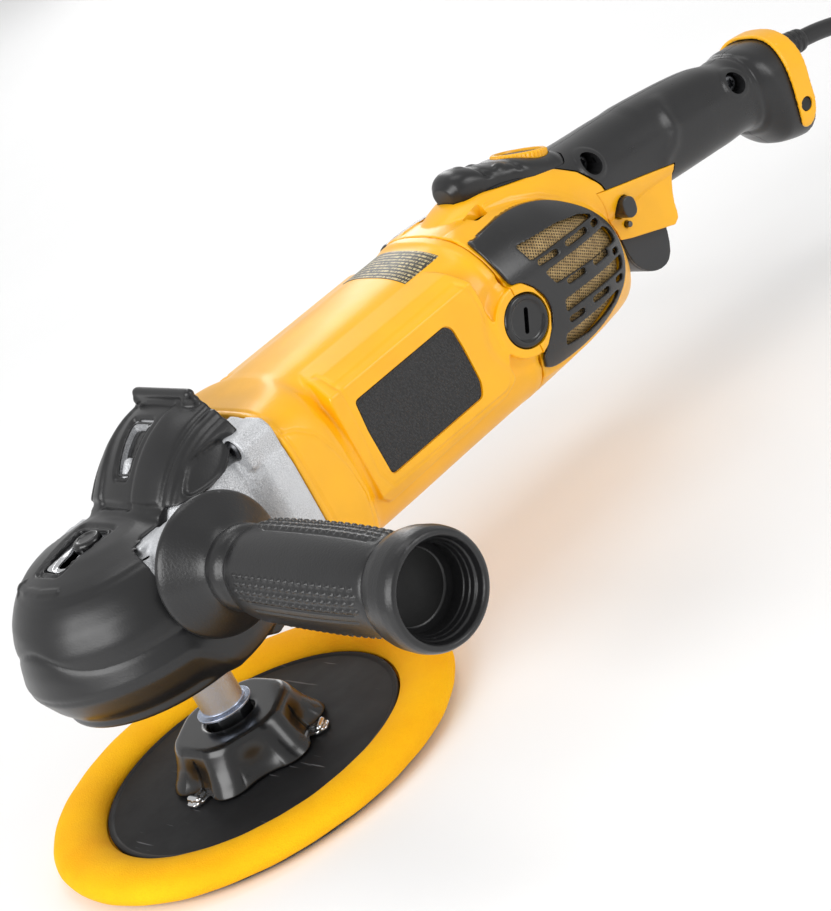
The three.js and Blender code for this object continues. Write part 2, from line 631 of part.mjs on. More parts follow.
function ventCover(side) {
  const limits = side > 0 ? [15, 60] : [-60, -15];
  let cover = solid(loft(REAR_BODY, 2.2)).subtract(solid(loft(REAR_BODY, GAP)));
  cover = cover.intersect(solid(slab(VENT, ...limits)));
  cover = cover.subtract(solid(block(-60, 60, 100, SEAM + GAP, 0, 200)));
  cover = cover.subtract(solid(alongX(ringBetween(0, BRUSH_RADIUS + 3, -60, 60, 20), 0, SEAM, MOTOR_HEIGHT)));
  for (let i = 0; i < 4; i++) {
    const z = 113 - 11 * i;
    const end = [230, 240, 241, 235][i];
    const start = [198, 203, 203, 198][i];
    cover = cover.subtract(solid(block(limits[0], limits[1], start, end, z - 2.9, z + 2.9)));
  }
  return geometryOf(cover);
}

function lintScreen(side) {
  const limits = side > 0 ? [15, 60] : [-60, -15];
  const skin = solid(loft(REAR_BODY, -0.6)).subtract(solid(loft(REAR_BODY, -1.6)));
  return geometryOf(skin.intersect(solid(slab(ventOutline(7.4), ...limits))));
}

// ---- brushes ---------------------------------------------------------------------------
function brushCap() {
  const cap = solid(turned([[0, 36], [7, 36], [7, 38.5], [BRUSH_RADIUS, 38.5], [BRUSH_RADIUS, 43.6],
    [10, 44.8], [0, 44.8]], 20));
  return geometryOf(cap.subtract(solid(block(-5.5, 5.5, 43.6, 46, -0.8, 0.8))));
}

function carbonBrush() {
  return moved(new THREE.BoxGeometry(6.5, 18, 10), 0, 24, 0);
}

// ---- rear handle -----------------------------------------------------------------------
const HANDLE_SCREWS = [[265, 117], [356.5, 101.5]];

function handleForm() {
  const form = solid(loft(HANDLE_BODY)).subtract(solid(loft(REAR_BODY, 2 * GAP))).subtract(ventZone());
  const trimmed = form.subtract(solid(block(-60, 60, 180, 268, 0, 88))).subtract(saddleZone(GAP));
  return trimmed.subtract(solid(slab(HANDLE_END, -40, 40)));
}

function handleCavity() {
  const stations = HANDLE_BODY.filter((s) => s.y >= 262 && s.y < 380);
  stations[0] = { ...stations[0], y: 266 };
  stations.push({ ...HANDLE_BODY.at(-2), y: 384 });
  return solid(loft(stations, -HANDLE_WALL, 24));
}

function reliefAxis() {
  return { y: RELIEF_START_Y, z: RELIEF_START_Z, turn: -CORD_SLOPE };
}

function handleShell(side) {
  let shell = handleForm().subtract(handleCavity());
  for (const [y, z] of HANDLE_SCREWS) {
    shell = shell.add(solid(alongX(ringBetween(0, 6.6, -15, 15, 12), 0, y, z)));
  }
  for (const [y, z] of HANDLE_SCREWS) {
    shell = shell.subtract(solid(alongX(ringBetween(0, 2.2, -12, 30, 8), 0, y, z)));
    shell = shell.subtract(solid(alongX(ringBetween(0, 4.9, 5.2, 40, 14), 0, y, z)));
  }
  const { y, z, turn } = reliefAxis();
  shell = shell.subtract(solid(moved(ringBetween(0, 8.3, -8, 30, 16), 0, y, z, turn, 0, 0)));
  shell = shell.subtract(dialRoom());
  shell = shell.subtract(dialSurroundForm(GAP));
  shell = shell.subtract(guardZone(GAP));
  const limits = side > 0 ? [GAP / 2, 60] : [-60, -GAP / 2];
  return geometryOf(shell.intersect(solid(block(...limits, 150, 420, 40, 160))));
}

function handleScrew() {
  return turned([[0, 8.9], [3.8, 8.9], [3.8, 5.5], [2, 5.5], [2, -11], [0, -11]].reverse(), 10);
}

function endBand() {
  const wrap = solid(loft(HANDLE_BODY.slice(6), 1.7)).subtract(solid(loft(HANDLE_BODY.slice(6), GAP)));
  const strap = [[387, 120], [395.5, 120], [394, 104], [392.5, 94], [389.5, 83], [388, 72], [385, 65.5],
    [381, 65.5], [378.8, 69], [378.8, 76], [380.5, 88], [382.5, 100], [386, 110]];
  return geometryOf(wrap.intersect(solid(slab(strap, -40, 40))));
}

// ---- trigger group -----------------------------------------------------------------------
const GUARD = [[258, 106], [306, 91.5], [304.5, 86.5], [301, 83], [298.5, 76.5], [297, 69.5], [294, 68],
  [270, 76.5], [262, 80]];

// Everything between the guard's outline planes, grown by a clearance.
function guardZone(grow) {
  const [top, front] = [grow * 1.05, grow * 0.5];
  const outline = GUARD.map(([y, z], i) => [y + (i > 0 && i < 7 ? grow : -front), z + (i < 2 ? top : 0)]);
  return solid(slab(outline, -40, 40));
}

function triggerHousing() {
  const bulk = solid(loft(HANDLE_BODY)).add(solid(slab(GUARD, -15.5, 15.5)));
  let body = guardZone(0).intersect(bulk).subtract(solid(loft(REAR_BODY, 2 * GAP)));
  const room = [[266.5, 60], [266.5, 86], [290, 86], [296, 82], [295.2, 60]];
  body = body.subtract(solid(slab(room, -11, 11)));
  body = body.subtract(solid(alongX(ringBetween(0, 4.6, 8, 40, 14), 0, LOCK_ON_Y, LOCK_ON_Z)));
  return geometryOf(body);
}

function trigger() {
  const outline = [[268.2, 76], [268.6, 66], [272, 59], [277, 54.5], [284, 53.5], [289.5, 57], [292.5, 64],
    [293.5, 72], [289, 78.5], [276, 80.5], [270, 80]];
  return moved(slab(outline, -10, 10), 0, -TRIGGER_PIVOT_Y, -TRIGGER_PIVOT_Z);
}

function lockOnButton() {
  return turned([[0, 14], [4.2, 14], [4.2, 23], [3.2, 24], [0, 24]], SMALL_ROUND);
}

function switchModule() {
  return block(-8, 8, 308, 334, 91, 107);
}

// ---- speed dial ---------------------------------------------------------------------------
const alongDial = (geometry) => moved(geometry, 0, DIAL_Y, DIAL_Z, Math.PI / 2 - DIAL_TILT, 0, 0);

const SURROUND = [
  { y: 203, z: 139.5, w: 6, up: 4, down: 5, p: 2.3 },
  { y: 207, z: 139.5, w: 10, up: 7.2, down: 8, p: 2.4 },
  { y: 213, z: 138.5, w: 11.5, up: 8.8, down: 9, p: 2.5 },
  { y: 221, z: 135.5, w: 12.5, up: 8.2, down: 9, p: 2.6 },
  { y: 229, z: 132.5, w: 14.5, up: 7.6, down: 9, p: 2.8 },
  { y: 238, z: 128.5, w: 17, up: 9, down: 6, p: 3 },
  { y: 254, z: 122.5, w: 16, up: 8, down: 4, p: 2.8 },
  { y: 260, z: 122, w: 11, up: 5.5, down: 3, p: 2.4 },
];

function dialRoom() {
  return solid(alongDial(ringBetween(0, DIAL_RADIUS + 2, -8, 20, 20)));
}

function dialSurroundForm(grow) {
  return solid(loft(SURROUND, grow, 24)).subtract(solid(loft(REAR_BODY, GAP)));
}

function dialSurround() {
  let body = dialSurroundForm(0);
  body = body.subtract(solid(alongDial(ringBetween(0, DIAL_RADIUS + 0.4, -1.6, 20, 24))));
  return geometryOf(body);
}

function speedDial() {
  return turned([[0, -1.2], [DIAL_RADIUS, -1.2], [DIAL_RADIUS, 1.6], [DIAL_RADIUS - 1, 2.4], [0, 2.4]], 24);
}

// ---- side handle, turned about its own axis -------------------------------------------------
function sideHandleStud() {
  const profile = [[0, 37.5], [4.9, 37.5], [4.9, 53], [7.2, 53.3], [7.2, 55.5], [4.9, 55.8],
    [4.9, 80], [0, 80]];
  return turned(profile, 14);
}

function sideHandleGrip() {
  const start = SIDE_HANDLE_START;
  const profile = [[7.5, start], [13, start], [25.5, start + 0.9], [28, start + 3], [27.2, start + 5.5],
    [22, start + 10.5], [16.5, start + 16], [14.2, start + 21], [14.6, start + 25], [17, start + 29.5],
    [18.4, start + 34], [19.2, start + 60], [19.4, start + 90], [18.4, start + 112], [17.6, start + 118.5],
    [16.5, start + 119], [16.5, start + 34], [7.5, start + 31], [7.5, start]];
  return turned(profile, ROUND - 4);
}

function sideHandleRing() {
  const start = SIDE_HANDLE_START + 119 + GAP;
  const end = SIDE_HANDLE_END;
  const profile = [[0, start], [17.8, start], [20.5, start + 3.5], [22, start + 9], [22.4, end - 6],
    [21.6, end - 1.5], [19.8, end], [18.4, end - 1], [18, end - 4], [16.6, end - 5], [16.2, start + 6],
    [14, start + 4], [0, start + 4]];
  return turned(profile, ROUND - 4);
}

// ---- cord -------------------------------------------------------------------------------------
function strainRelief() {
  return turned([[0, 0], [8, 0], [8, 8], [7.4, 10], [5.4, RELIEF_LENGTH], [0, RELIEF_LENGTH]], 16);
}

const RELIEF_END = [0, RELIEF_START_Y + RELIEF_LENGTH * Math.cos(CORD_SLOPE),
  RELIEF_START_Z - RELIEF_LENGTH * Math.sin(CORD_SLOPE)];
const FLOOR_HEIGHT = CORD_RADIUS + 0.1;
const COIL_OUTER_TURN = COIL_MID_RADIUS + (COIL_COLUMNS - 1) / 2 * CORD_PITCH;
const ENTRY_X = COIL_X + COIL_OUTER_TURN;

// Hand-picked points of the stretch between the strain relief and the coil.
const CORD_ROUTE = [
  [0, RELIEF_END[1] + GAP, RELIEF_END[2] - 0.06],
  [0.2, 428, 87.6],
  [0.6, 444, 82.5],
  [1.5, 462, 74.5],
  [3, 480, 64],
  [5.5, 498, 51],
  [9, 516, 36.5],
  [12.7, 533, 23.5],
  [16, 549.5, 13],
  [18.5, 566, 6.6],
  [ENTRY_X - 0.3, 578, FLOOR_HEIGHT + 0.3],
  [ENTRY_X, 584.5, FLOOR_HEIGHT],
];

function cordTube() {
  const points = CORD_ROUTE.map(([x, y, z]) => new THREE.Vector3(x, y, z));
  const path = new THREE.CatmullRomCurve3(points);
  const shape = new THREE.Shape();
  shape.absarc(0, 0, CORD_RADIUS, 0, 2 * Math.PI, false);
  const settings = { steps: 16, curveSegments: 5, bevelEnabled: false, extrudePath: path };
  return new THREE.ExtrudeGeometry(shape, settings);
}

function cordCoil() {
  const half = COIL_COLUMNS / 2 * CORD_PITCH;
  const height = COIL_LAYERS * CORD_PITCH;
  return ringBetween(COIL_MID_RADIUS - half, COIL_MID_RADIUS + half, 0, height, 32);
}

function plug() {
  const body = solid(turned([[0, 0], [5.6, 0], [7.6, 22], [11.6, 26], [11.8, 48], [10.5, 50], [0, 50]], 20));
  let whole = body;
  for (const z of [-6.35, 6.35]) whole = whole.add(solid(block(-3.2, 3.2, 49, 67, z - 0.8, z + 0.8)));
  whole = whole.add(solid(moved(ringBetween(0, 2.4, 49, 69, 10), -7, 0, 0)));
  return geometryOf(whole);
}

// ---- assembly -----------------------------------------------------------------------------------
const polisher = new THREE.Group();
const spindleLine = new THREE.Group();
spindleLine.rotation.x = Math.PI / 2;
const motorLine = new THREE.Group();
motorLine.position.z = MOTOR_HEIGHT;
const counterLine = new THREE.Group();
counterLine.position.z = COUNTER_HEIGHT;
const sideLine = new THREE.Group();
sideLine.rotation.z = -Math.PI / 2;
sideLine.position.set(0, SIDE_HANDLE_Y, SIDE_HANDLE_Z);
polisher.add(spindleLine, motorLine, counterLine, sideLine);

function add(parent, name, material, geometry) {
  const mesh = new THREE.Mesh(welded(geometry), material);
  mesh.name = name;
  parent.add(mesh);
  return mesh;
}

add(spindleLine, "hook_layer", carbon, ringBetween(0, 83, 0, 1.6, PAD_ROUND));
add(spindleLine, "pad_foam", yellowFoam, padFoam());
add(spindleLine, "backing_disc", blackPlastic, ringBetween(0, DISC_RADIUS, 4.5, DISC_TOP, PAD_ROUND));
add(spindleLine, "clamp_hub", glossBlack, clampHub());
add(spindleLine, "pad_nut", steel, padNut());
add(spindleLine, "spindle_sleeve", steel, spindleSleeve());
add(spindleLine, "spindle", darkSteel, ringBetween(0, SPINDLE_RADIUS, DISC_TOP + GAP, SPINDLE_TOP, 20));
add(spindleLine, "bevel_gear", darkSteel, bevelGear());
add(spindleLine, "spindle_bearing", steel,
  bearing(SPINDLE_RADIUS + GAP, SPINDLE_BEARING.radius, SPINDLE_BEARING.low, SPINDLE_BEARING.high));
add(spindleLine, "bearing_plate", castAluminium, bearingPlate());
add(polisher, "gear_case", castAluminium, gearCase());
add(polisher, "gear_case_boot", blackRubber, gearCaseBoot());
const lockButton = add(polisher, "spindle_lock_button", steel, spindleLockButton());
lockButton.rotation.x = Math.PI / 2;
lockButton.position.set(0, LOCK_Y, 0);

add(counterLine, "counter_shaft", darkSteel, ringBetween(0, COUNTER_SHAFT_RADIUS, 20, 56, SMALL_ROUND));
add(counterLine, "bevel_pinion", darkSteel, bevelPinion());
add(counterLine, "counter_bearing", steel, bearing(COUNTER_SHAFT_RADIUS + GAP, 11.7, 32.5, 38.6));
add(counterLine, "counter_gear", darkSteel,
  spurGear(COUNTER_TEETH, COUNTER_SHAFT_RADIUS + GAP, Math.PI / COUNTER_TEETH + Math.PI, 40.4, 48.4));
add(polisher, "gear_plate", castAluminium, gearPlate());
add(motorLine, "armature_shaft", steel, armatureShaft());
add(motorLine, "motor_pinion", darkSteel, spurGear(MOTOR_TEETH, 3.8, 0, 42.5, 49.6));
add(motorLine, "motor_bearing_front", steel, bearing(SHAFT_RADIUS + GAP, 13, 50.6, 58));
add(motorLine, "fan", blackPlastic, fan());
add(motorLine, "field_stator", darkSteel, fieldStator());
add(motorLine, "armature_core", copper, armatureCore());
add(motorLine, "commutator", copper, ringBetween(SHAFT_RADIUS + GAP, 14, 168, 193, 24));
add(motorLine, "motor_bearing_rear", steel, bearing(SHAFT_RADIUS + GAP, 12, 202, 210));
add(polisher, "motor_housing", yellowPlastic, motorHousing());
add(polisher, "rear_cap", yellowPlastic, rearCap());

for (const [word, side] of [["left", 1], ["right", -1]]) {
  add(polisher, `side_label_${word}`, blackPlastic, sideLabel(side));
  add(polisher, `vent_cover_${word}`, greyPlastic, ventCover(side));
  add(polisher, `lint_screen_${word}`, bronzeMesh, lintScreen(side));
  const cap = add(polisher, `brush_cap_${word}`, glossBlack, brushCap());
  const brush = add(polisher, `carbon_brush_${word}`, carbon, carbonBrush());
  for (const piece of [cap, brush]) {
    piece.rotation.z = -side * Math.PI / 2;
    piece.position.set(0, SEAM, MOTOR_HEIGHT);
  }
  add(polisher, `handle_${word}`, blackPlastic, handleShell(side));
}
for (const [k, [x, z]] of screwPlaces().entries()) {
  add(polisher, `case_screw_${k + 1}`, darkSteel, caseScrew()).position.set(x, 0, z);
}
for (const [k, [y, z]] of HANDLE_SCREWS.entries()) {
  const screw = add(polisher, `handle_screw_${k + 1}`, steel, handleScrew());
  screw.rotation.z = -Math.PI / 2;
  screw.position.set(0, y, z);
}
add(polisher, "end_band", yellowPlastic, endBand());
add(polisher, "trigger_housing", yellowPlastic, triggerHousing());
add(polisher, "trigger", greyPlastic, trigger()).position.set(0, TRIGGER_PIVOT_Y, TRIGGER_PIVOT_Z);
const lockOn = add(polisher, "lock_on_button", greyPlastic, lockOnButton());
lockOn.rotation.z = -Math.PI / 2;
lockOn.position.set(0, LOCK_ON_Y, LOCK_ON_Z);
add(polisher, "switch_module", blackPlastic, switchModule());
add(polisher, "dial_surround", blackRubber, dialSurround());
const dial = add(polisher, "speed_dial", yellowPlastic, speedDial());
dial.rotation.x = Math.PI / 2 - DIAL_TILT;
dial.position.set(0, DIAL_Y, DIAL_Z);

add(sideLine, "side_handle_stud", steel, sideHandleStud());
add(sideLine, "side_handle_grip", blackPlastic, sideHandleGrip());
add(sideLine, "side_handle_ring", blackPlastic, sideHandleRing());

const relief = add(polisher, "strain_relief", cordRubber, strainRelief());
relief.rotation.x = -CORD_SLOPE;
relief.position.set(0, RELIEF_START_Y, RELIEF_START_Z);
add(polisher, "cord", cordRubber, cordTube());
const coil = add(polisher, "cord_coil", cordRubber, cordCoil());
coil.rotation.x = Math.PI / 2;
coil.position.set(COIL_X, COIL_Y, 0);
const plugPiece = add(polisher, "plug", cordRubber, plug());
plugPiece.rotation.z = Math.PI / 2;
plugPiece.position.set(COIL_X - 36, COIL_Y + COIL_OUTER_TURN, 12);

export default polisher;
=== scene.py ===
import math

import bmesh
import bpy
import numpy as np
from mathutils import Matrix, Vector


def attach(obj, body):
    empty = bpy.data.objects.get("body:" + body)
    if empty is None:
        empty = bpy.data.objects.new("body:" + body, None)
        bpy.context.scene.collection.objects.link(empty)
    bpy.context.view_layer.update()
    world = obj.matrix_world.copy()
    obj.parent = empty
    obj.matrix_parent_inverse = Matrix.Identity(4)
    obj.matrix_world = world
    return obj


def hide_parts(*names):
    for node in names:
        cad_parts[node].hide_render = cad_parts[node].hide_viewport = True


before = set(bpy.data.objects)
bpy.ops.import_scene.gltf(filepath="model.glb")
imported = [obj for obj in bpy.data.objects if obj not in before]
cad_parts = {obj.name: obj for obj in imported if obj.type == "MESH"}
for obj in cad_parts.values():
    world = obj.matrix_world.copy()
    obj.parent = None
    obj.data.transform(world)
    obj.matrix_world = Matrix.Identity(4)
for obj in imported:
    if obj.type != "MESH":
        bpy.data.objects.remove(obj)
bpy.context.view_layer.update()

MM = 0.001
GAP = 0.3  # clearance between touching pieces
VOXEL = 0.65  # grain of the moulded shapes
FINE = 0.45  # grain of small moulded shapes

# ---- sizes, in millimetres ----
NOSE_Y = -9
BOOT_WALL = 3.2
CASE_REAR = 57
MOTOR_HEIGHT = 92
COUNTER_HEIGHT = 119.4
SEAM = 183
BRUSH_RADIUS = 11.5
HUB_TURN = math.radians(-55)  # direction of one of the hub's lobes
SIDE_Y = 3
SIDE_Z = 103
LOCK_Y = -14  # middle of the spindle lock button
SHAFT_BORE = 6.5
HUB_TOP = 26.8
LOCK_ON = (270, 92)
TRIGGER_PIN = (270.5, 83.2)
LANYARD_HOLE = (383, 74.4)
DIAL = (0, 247, 132.6)
DIAL_TILT = 0.37
LINING = -BOOT_WALL - GAP  # from the outside of the rubber boot to the metal under it
MOTOR_BORE = 36.4
SIDE_AXIS = ("X", (0, SIDE_Y, SIDE_Z))
BRUSH_AXIS = ("X", (0, SEAM, MOTOR_HEIGHT))
MOTOR_AXIS = ("Y", (0, 0, MOTOR_HEIGHT))
COUNTER_AXIS = ("Y", (0, 0, COUNTER_HEIGHT))
LOCK_AXIS = ("Z", (0, LOCK_Y, 0))
LOCK_ON_AXIS = ("X", (0, *LOCK_ON))
PIN_AXIS = ("X", (0, *TRIGGER_PIN))
LANYARD_AXIS = ("X", (0, *LANYARD_HOLE))
DIAL_TURN = Matrix.Translation(DIAL) @ Matrix.Rotation(-DIAL_TILT, 4, "X")
SIDES = (("left", 1), ("right", -1))
CASE_SCREWS = [(36.5, 127), (-36.5, 127), (36.5, 55), (-36.5, 55)]
HANDLE_SCREWS = [(265, 117), (356.5, 101.5)]

# Sections of the outer forms: y, z, half width, reach up, reach down, squareness.
LOBE = [(-8, 92, 34, 24, 30, 2.6), (2, 92, 38, 30, 31, 2.6), (8, 92, 40, 37, 32, 2.7),
        (17, 92, 41, 46, 33, 2.7), (27, 92, 41.5, 52.5, 34, 2.7), (38, 92, 42, 56, 35, 2.7),
        (50, 92, 42.5, 57, 36, 2.7)]
FLANGE = [(38.5, 91, 39, 35, 36, 4.2), (42, 91, 42.6, 38.6, 39, 4.6), (46.5, 91, 45.2, 41, 41.5, 5),
          (CASE_REAR, 91, 45.2, 41, 41.5, 5)]
MOTOR_BODY = [(57.3, 91, 45.2, 41, 41.5, 5), (66, 91, 44.8, 41, 41.5, 4.4),
              (76, 91.3, 44.2, 41, 41.5, 3.7), (79.5, 91.5, 43.4, 41, 41.5, 3.2),
              (82.5, 92, 41.7, 40.6, 41, 2.7), (86, 92, 41.6, 40.5, 41, 2.6),
              (168, 92, 41.6, 40.5, 40, 2.6), (176, 92, 41.8, 40.8, 40, 2.6),
              (179, 92, 42.6, 41.5, 40, 2.6), (SEAM, 92, 42.6, 41.5, 40, 2.6)]
REAR_BODY = [(183.3, 92, 42.6, 41.5, 40, 2.6), (200, 92, 42.6, 40.5, 39.5, 2.6),
             (220, 91, 41, 38, 38.5, 2.5), (238, 90, 36.5, 31, 37.5, 2.4), (252, 86, 29, 24, 33, 2.3),
             (260, 83, 20, 17, 27, 2.2), (265.5, 80, 11, 10, 17, 2)]
HANDLE_BODY = [(188, 118, 14, 14.5, 9, 2.4), (197, 118, 18, 17.5, 10, 2.4),
               (210, 116, 21, 21.5, 14, 2.4), (235, 110, 23.5, 24.5, 16, 2.4),
               (262, 105, 22.5, 21.5, 20, 2.4), (290, 103, 20, 20.5, 20.5, 2.3),
               (318, 99.5, 19.2, 20, 20, 2.3), (345, 95.5, 18.2, 19, 19, 2.3),
               (360, 92.5, 18, 17.5, 17.5, 2.3), (367, 89.5, 19.3, 19.8, 20.5, 2.4),
               (375, 85.5, 22, 23.5, 25.5, 2.5), (389, 82, 22.5, 25, 26, 2.6),
               (398, 81, 20.5, 24, 24, 2.6)]
HANDLE_END = [(386.5, 55), (396.6, 110), (430, 110), (430, 55)]
# Where the rear cap rises round the front of the handle, in the YZ plane.
SADDLE = [(180, 84), (180, 142), (205, 138), (219, 133.5), (232, 130), (246, 127), (256, 118.5),
          (262.5, 108), (264.3, 100), (264.5, 84)]
SURROUND = [(203, 139.5, 6, 4, 5, 2.3), (207, 139.5, 10, 7.2, 8, 2.4), (213, 138.5, 11.5, 8.8, 9, 2.5),
            (221, 135.5, 12.5, 8.2, 9, 2.6), (229, 132.5, 14.5, 7.6, 9, 2.8), (238, 128.5, 17, 9, 6, 3),
            (254, 122.5, 16, 8, 4, 2.8), (260, 122, 11, 5.5, 3, 2.4)]

# The free stretch of the cord, its listed points, and its coil.
CORD_RADIUS = 4.1
CORD_PITCH = 8.4
CORD_SLOPE = 0.19
RELIEF_START = (0, 386, 96)
RELIEF_LENGTH = 30
RELIEF_TURN = Matrix.Translation(RELIEF_START) @ Matrix.Rotation(-CORD_SLOPE, 4, "X")
COIL_X = -42.6
COIL_Y = 625
COIL_MID = 50
COIL_COLUMNS = 4
COIL_TURN_POINTS = 36
FLOOR_HEIGHT = CORD_RADIUS + 0.1
COIL_OUTER = COIL_MID + (COIL_COLUMNS - 1) / 2 * CORD_PITCH
ENTRY_X = COIL_X + COIL_OUTER
ENTRY_Y = 584.5
PLUG_X = COIL_X - 36
PLUG_HEIGHT = 12
RELIEF_END = (0, RELIEF_START[1] + RELIEF_LENGTH * math.cos(CORD_SLOPE),
              RELIEF_START[2] - RELIEF_LENGTH * math.sin(CORD_SLOPE))
CORD_ROUTE = [(0, RELIEF_END[1] + GAP, RELIEF_END[2] - 0.06), (0.2, 428, 87.6), (0.6, 444, 82.5),
              (1.5, 462, 74.5), (3, 480, 64), (5.5, 498, 51), (9, 516, 36.5), (12.7, 533, 23.5),
              (16, 549.5, 13), (18.5, 566, 6.6), (ENTRY_X - 0.3, 578, FLOOR_HEIGHT + 0.3),
              (ENTRY_X, ENTRY_Y, FLOOR_HEIGHT)]


# ---- mesh tools ----
def body_of_points(name, points, faces):
    mesh = bpy.data.meshes.new(name)
    mesh.from_pydata(np.asarray(points, float).tolist(), [], [list(map(int, f)) for f in faces])
    piece = bpy.data.objects.new(name, mesh)
    bpy.context.scene.collection.objects.link(piece)
    turn_outwards(piece)
    return piece


def turn_outwards(piece):
    work = bmesh.new()
    work.from_mesh(piece.data)
    bmesh.ops.recalc_face_normals(work, faces=work.faces)
    work.to_mesh(piece.data)
    work.free()


def skinned(name, rings, loop=False):
    """A closed body through equal rings of points. With loop the last ring joins the first."""
    rings = np.asarray(rings, float)
    rows, count, _ = rings.shape
    points = rings.reshape(-1, 3)
    near = np.arange(count)
    far = (near + 1) % count
    faces = []
    for k in range(rows if loop else rows - 1):
        low, high = k * count, ((k + 1) % rows) * count
        faces.append(np.column_stack([low + near, low + far, high + far, high + near]))
    faces = np.vstack(faces).tolist()
    if not loop:
        ends = np.array([rings[0].mean(0), rings[-1].mean(0)])
        first, last = len(points), len(points) + 1
        points = np.vstack([points, ends])
        top = (rows - 1) * count
        faces += [[first, j, i] for i, j in zip(near, far)]
        faces += [[last, top + i, top + j] for i, j in zip(near, far)]
    return body_of_points(name, points, faces)


def plate_faces(keep, number):
    """Faces of a thin plate made of the kept cells of a grid: front, back and rims."""
    total = number.size
    j, i = np.nonzero(keep)
    a, b, c, d = number[j, i], number[j, i + 1], number[j + 1, i + 1], number[j + 1, i]
    faces = [np.column_stack([a, b, c, d]), np.column_stack([d, c, b, a]) + total]
    for dj, di, first, second in ((-1, 0, a, b), (0, 1, b, c), (1, 0, c, d), (0, -1, d, a)):
        jj, ii = j + dj, i + di
        open_side = np.ones(len(j), bool)
        valid = (jj >= 0) & (jj < keep.shape[0]) & (ii >= 0) & (ii < keep.shape[1])
        open_side[valid] = ~keep[jj[valid], ii[valid]]
        p, q = first[open_side], second[open_side]
        faces.append(np.column_stack([q, p, p + total, q + total]))
    return np.vstack(faces)


def steady(x, y, at):
    """A cubic curve through the points (x, y) that never overshoots them."""
    step = np.diff(x)
    slope = np.diff(y) / step
    bend = np.concatenate([slope[:1], np.zeros(len(x) - 2), slope[-1:]])
    for k in range(1, len(x) - 1):
        if slope[k - 1] * slope[k] > 0:
            a, b = 2 * step[k] + step[k - 1], step[k] + 2 * step[k - 1]
            bend[k] = (a + b) / (a / slope[k - 1] + b / slope[k])
    k = np.clip(np.searchsorted(x, at) - 1, 0, len(x) - 2)
    h, t = step[k], (at - x[k]) / step[k]
    start = (1 + 2 * t) * (1 - t) ** 2 * y[k] + t * (1 - t) ** 2 * h * bend[k]
    return start + t * t * (3 - 2 * t) * y[k + 1] + t * t * (t - 1) * h * bend[k + 1]


def section_points(station, angle, grow=0.0):
    """Points of one rounded section at the given angles."""
    y, z, w, up, down, p = station
    c, s = np.cos(angle), np.sin(angle)
    reach = np.where(s > 0, up, down) + grow
    x = (w + grow) * np.sign(c) * np.abs(c) ** (2 / p)
    height = z + reach * np.sign(s) * np.abs(s) ** (2 / p)
    return np.column_stack([x, np.full_like(x, y), height])


def stations_of(table, step):
    rows = np.array(table, float)
    count = max(2, math.ceil((rows[-1, 0] - rows[0, 0]) / step))
    at = np.linspace(rows[0, 0], rows[-1, 0], count + 1)
    return np.column_stack([at] + [steady(rows[:, 0], rows[:, k], at) for k in range(1, 6)])


def loft(name, table, grow=0.0, sides=144, step=2.0):
    rows = stations_of(table, step)
    low, high = rows[0, 0], rows[-1, 0]
    angle = (np.arange(sides) + 0.5) / sides * 2 * math.pi
    rings = []
    for row in rows:
        y = np.interp(row[0], [low, high], [low - grow, high + grow])
        rings.append(section_points((y, *row[1:]), angle, grow))
    return skinned(name, rings)


def rounded(profile, radius=0.6, steps=4):
    """The profile with its inner corners turned into small arcs."""
    points = [np.array(p, float) for p in profile]
    out = [points[0]]
    for before, here, after in zip(points, points[1:], points[2:]):
        a, b = before - here, after - here
        la, lb = np.linalg.norm(a), np.linalg.norm(b)
        cut = min(radius, 0.45 * la, 0.45 * lb)
        start, end = here + a / la * cut, here + b / lb * cut
        for t in np.linspace(0, 1, steps + 1):
            out.append((1 - t) ** 2 * start + 2 * t * (1 - t) * here + t * t * end)
    return out + [points[-1]]


AXES = {
    "X": Matrix(((0, 0, 1), (1, 0, 0), (0, 1, 0))),
    "Y": Matrix(((0, 1, 0), (0, 0, 1), (1, 0, 0))),
    "Z": Matrix.Identity(3),
}


def lathe(name, profile, axis="Z", at=(0, 0, 0), segments=96, shape=None):
    """A turned body. The profile holds (radius, height along the axis) pairs.
    It starts and ends on the axis, or its last point joins the first.
    shape(angle, radius, height) may change the radius."""
    points = np.array([tuple(p) for p in profile], float)
    solid = points[0, 0] < 1e-6
    if solid:
        rows = points[1:-1]
    else:
        rows = points[:-1] if np.allclose(points[0], points[-1]) else points
    angle = np.arange(segments) / segments * 2 * math.pi
    rings = []
    for r, h in rows:
        radius, height = np.full((2, segments), ((r,), (h,)))
        if shape:
            radius = shape(angle, radius, h)
        rings.append(np.column_stack([radius * np.cos(angle), radius * np.sin(angle), height]))
    piece = skinned(name, rings, loop=not solid)
    if solid:
        ends = piece.data.vertices
        ends[len(ends) - 2].co.z = points[0, 1]
        ends[len(ends) - 1].co.z = points[-1, 1]
    piece.data.transform(Matrix.Translation(at) @ AXES[axis].to_4x4())
    return piece


def cylinder(radius, low, high, axis="Z", at=(0, 0, 0), segments=64):
    return lathe("tool", [(0, low), (radius, low), (radius, high), (0, high)], axis, at, segments)


def ring(inner, outer, low, high, axis="Z", at=(0, 0, 0), segments=64):
    profile = [(inner, low), (outer, low), (outer, high), (inner, high), (inner, low)]
    return lathe("tool", profile, axis, at, segments)


def extruded(name, outline, ends, place):
    """A straight body between two ends. place(u, v, h) puts an outline point at an end."""
    n = len(outline)
    points = [place(u, v, h) for h in ends for u, v in outline]
    sides = [(i, (i + 1) % n, n + (i + 1) % n, n + i) for i in range(n)]
    return body_of_points(name, points, sides + [tuple(range(n))[::-1], tuple(range(n, 2 * n))])


def slab(outline, from_x, to_x, name="tool"):
    """A slab whose outline lies in the YZ plane."""
    return extruded(name, outline, (from_x, to_x), lambda y, z, x: (x, y, z))


